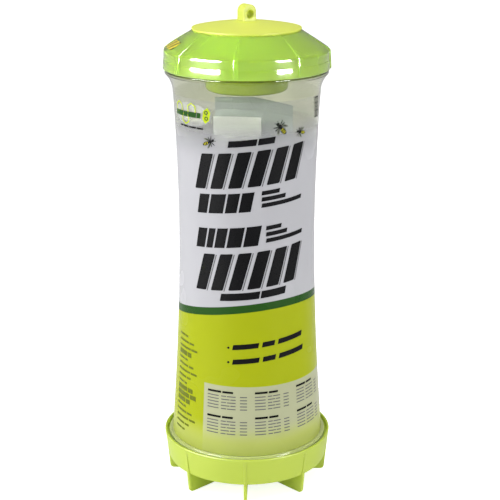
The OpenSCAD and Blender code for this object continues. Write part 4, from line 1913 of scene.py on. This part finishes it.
    def build(self) -> None:
        """Builds the rain cap."""
        bm = lathe(self.disc())
        self.eye(bm)
        self.legs(bm)
        piece("rain_cap_disc", bm, Body.RAIN_CAP, CAP_LIME.material(), ["rain_cap"])


# ---------------------------------------------------------------- the studio


@dataclass(frozen=True)
class SoftBox:
    """A rectangular studio light.

    Attributes:
        name: the light's name.
        angle: its angle round the trap.
        distance: its distance from the trap's axis, in metres.
        height: the height of its middle, in metres.
        pitch: how far it leans over the trap, from 0 upright to 90 overhead.
        width: its width, in metres.
        tall: its height from edge to edge, in metres.
        bright: how bright its face is.
        mirrored: whether it shows in reflections, or lights matt surfaces.
    """

    name: str
    angle: float
    distance: float
    height: float
    pitch: float
    width: float
    tall: float
    bright: float
    mirrored: bool = False

    def build(self) -> None:
        """Hangs the light."""
        turn = math.radians(self.angle)
        lamp = bpy.data.lights.new(self.name, "AREA")
        lamp.shape = "RECTANGLE"
        lamp.size = self.width
        lamp.size_y = self.tall
        lamp.energy = self.bright * math.pi * self.width * self.tall
        made = bpy.data.objects.new(lamp.name, lamp)
        made.location = (math.sin(turn) * self.distance, -math.cos(turn) * self.distance,
                         self.height)
        made.rotation_euler = (math.radians(90 - self.pitch), 0, turn)
        made.visible_glossy = self.mirrored
        made.visible_diffuse = not self.mirrored
        made.visible_transmission = False
        bpy.context.scene.collection.objects.link(made)


@dataclass(frozen=True)
class Studio:
    """The camera, the pale floor and the soft lights.

    Attributes:
        distance: the camera's distance from the trap's axis, in metres.
        height: the camera's height, in metres.
        pitch: how far it looks down, in degrees.
        yaw: how far it looks to the right of the axis, in degrees.
        side: how far it stands to the left, in metres.
        turn: the angle from the trap's front that it is seen at.
        lens: its focal length, in millimetres on a 36 mm sensor.
        room: how bright the room is to matt surfaces.
    """

    distance: float = 0.9031
    height: float = 0.4458
    pitch: float = 16.92
    yaw: float = 0.25
    side: float = 0.0017
    turn: float = 1.4
    lens: float = 94.85
    room: float = 0.5

    def camera(self) -> None:
        """Places the camera."""
        lens = bpy.data.cameras.new("camera")
        lens.lens = self.lens
        lens.sensor_width = 36.0
        lens.clip_start = 0.05
        made = bpy.data.objects.new("camera", lens)
        place = Matrix.Rotation(math.radians(self.turn), 3, "Z") @ Vector(
            (-self.side, -self.distance, self.height))
        made.location = place
        made.rotation_euler = (math.radians(90 - self.pitch), 0,
                               math.radians(self.turn - self.yaw))
        bpy.context.scene.collection.objects.link(made)
        bpy.context.scene.camera = made

    def by_ray(self, board: Board, camera: float, matt: float, mirror: float,
               through: float) -> bpy.types.NodeSocket:
        """Gives a brightness for each kind of ray.

        Args:
            board: the board that it is wired on.
            camera: brightness to the camera.
            matt: brightness to matt surfaces.
            mirror: brightness in reflections.
            through: brightness seen through clear plastic.

        Returns:
            The brightness.
        """
        path = board.add("LightPath")
        total = board.sums("MULTIPLY", path.outputs["Is Camera Ray"], camera - mirror)
        for name, value in (("Is Diffuse Ray", matt), ("Is Transmission Ray", through)):
            part = board.sums("MULTIPLY", path.outputs[name], value - mirror)
            total = board.sums("ADD", total, part)
        return board.sums("ADD", total, mirror)

    def floor(self) -> None:
        """Lays the pale floor."""
        bm = bmesh.new()
        bmesh.ops.create_grid(bm, x_segments=1, y_segments=1, size=14.0)
        mesh = bpy.data.meshes.new("studio_floor")
        bm.to_mesh(mesh)
        bm.free()
        floor = bpy.data.objects.new("studio_floor", mesh)
        material, board, shader, _ = new_material("studio_floor")
        board.feed(shader, {
            "Base Color": (0.8, 0.8, 0.8, 1.0), "Roughness": 0.9,
            "Emission Color": (1.0, 1.0, 1.0, 1.0),
            "Emission Strength": self.by_ray(board, 0.78, 0.06, 0.05, 0.2)})
        mesh.materials.append(material)
        bpy.context.scene.collection.objects.link(floor)

    def light(self) -> None:
        """Sets the room's light and hangs the soft boxes."""
        world = bpy.data.worlds.new("studio")
        world.use_nodes = True
        board = Board(world.node_tree)
        board.feed(world.node_tree.nodes["Background"], {
            "Color": (1.0, 1.0, 1.0, 1.0),
            "Strength": self.by_ray(board, 1.0, self.room, 0.22, 0.38)})
        bpy.context.scene.world = world
        for box in (SoftBox("left_glow", -82.0, 1.5, 0.45, 0.0, 1.1, 0.9, 3.6),
                    SoftBox("right_glow", 76.0, 1.6, 0.45, 0.0, 0.65, 0.9, 2.4),
                    SoftBox("top_glow", 0.0, 0.3, 1.5, 90.0, 0.9, 0.9, 3.8),
                    SoftBox("left_shine", -57.0, 1.5, 0.69, 0.0, 1.25, 0.9, 55.0, True),
                    SoftBox("right_shine", 53.0, 1.6, 0.69, 0.0, 0.6, 0.9, 55.0, True)):
            box.build()

    def build(self) -> None:
        """Sets up the whole studio."""
        self.camera()
        self.floor()
        self.light()
        bpy.context.scene.view_settings.view_transform = "Standard"


def main() -> None:
    """Builds the studio and every piece of the trap."""
    logging.basicConfig(level=logging.INFO, format="%(name)s: %(message)s")
    Studio().build()
    Base().build()
    Canister().build()
    Label().build()
    Contents().build()
    Lid().build()
    RainCap().build()


if __name__ == "__main__":
    main()
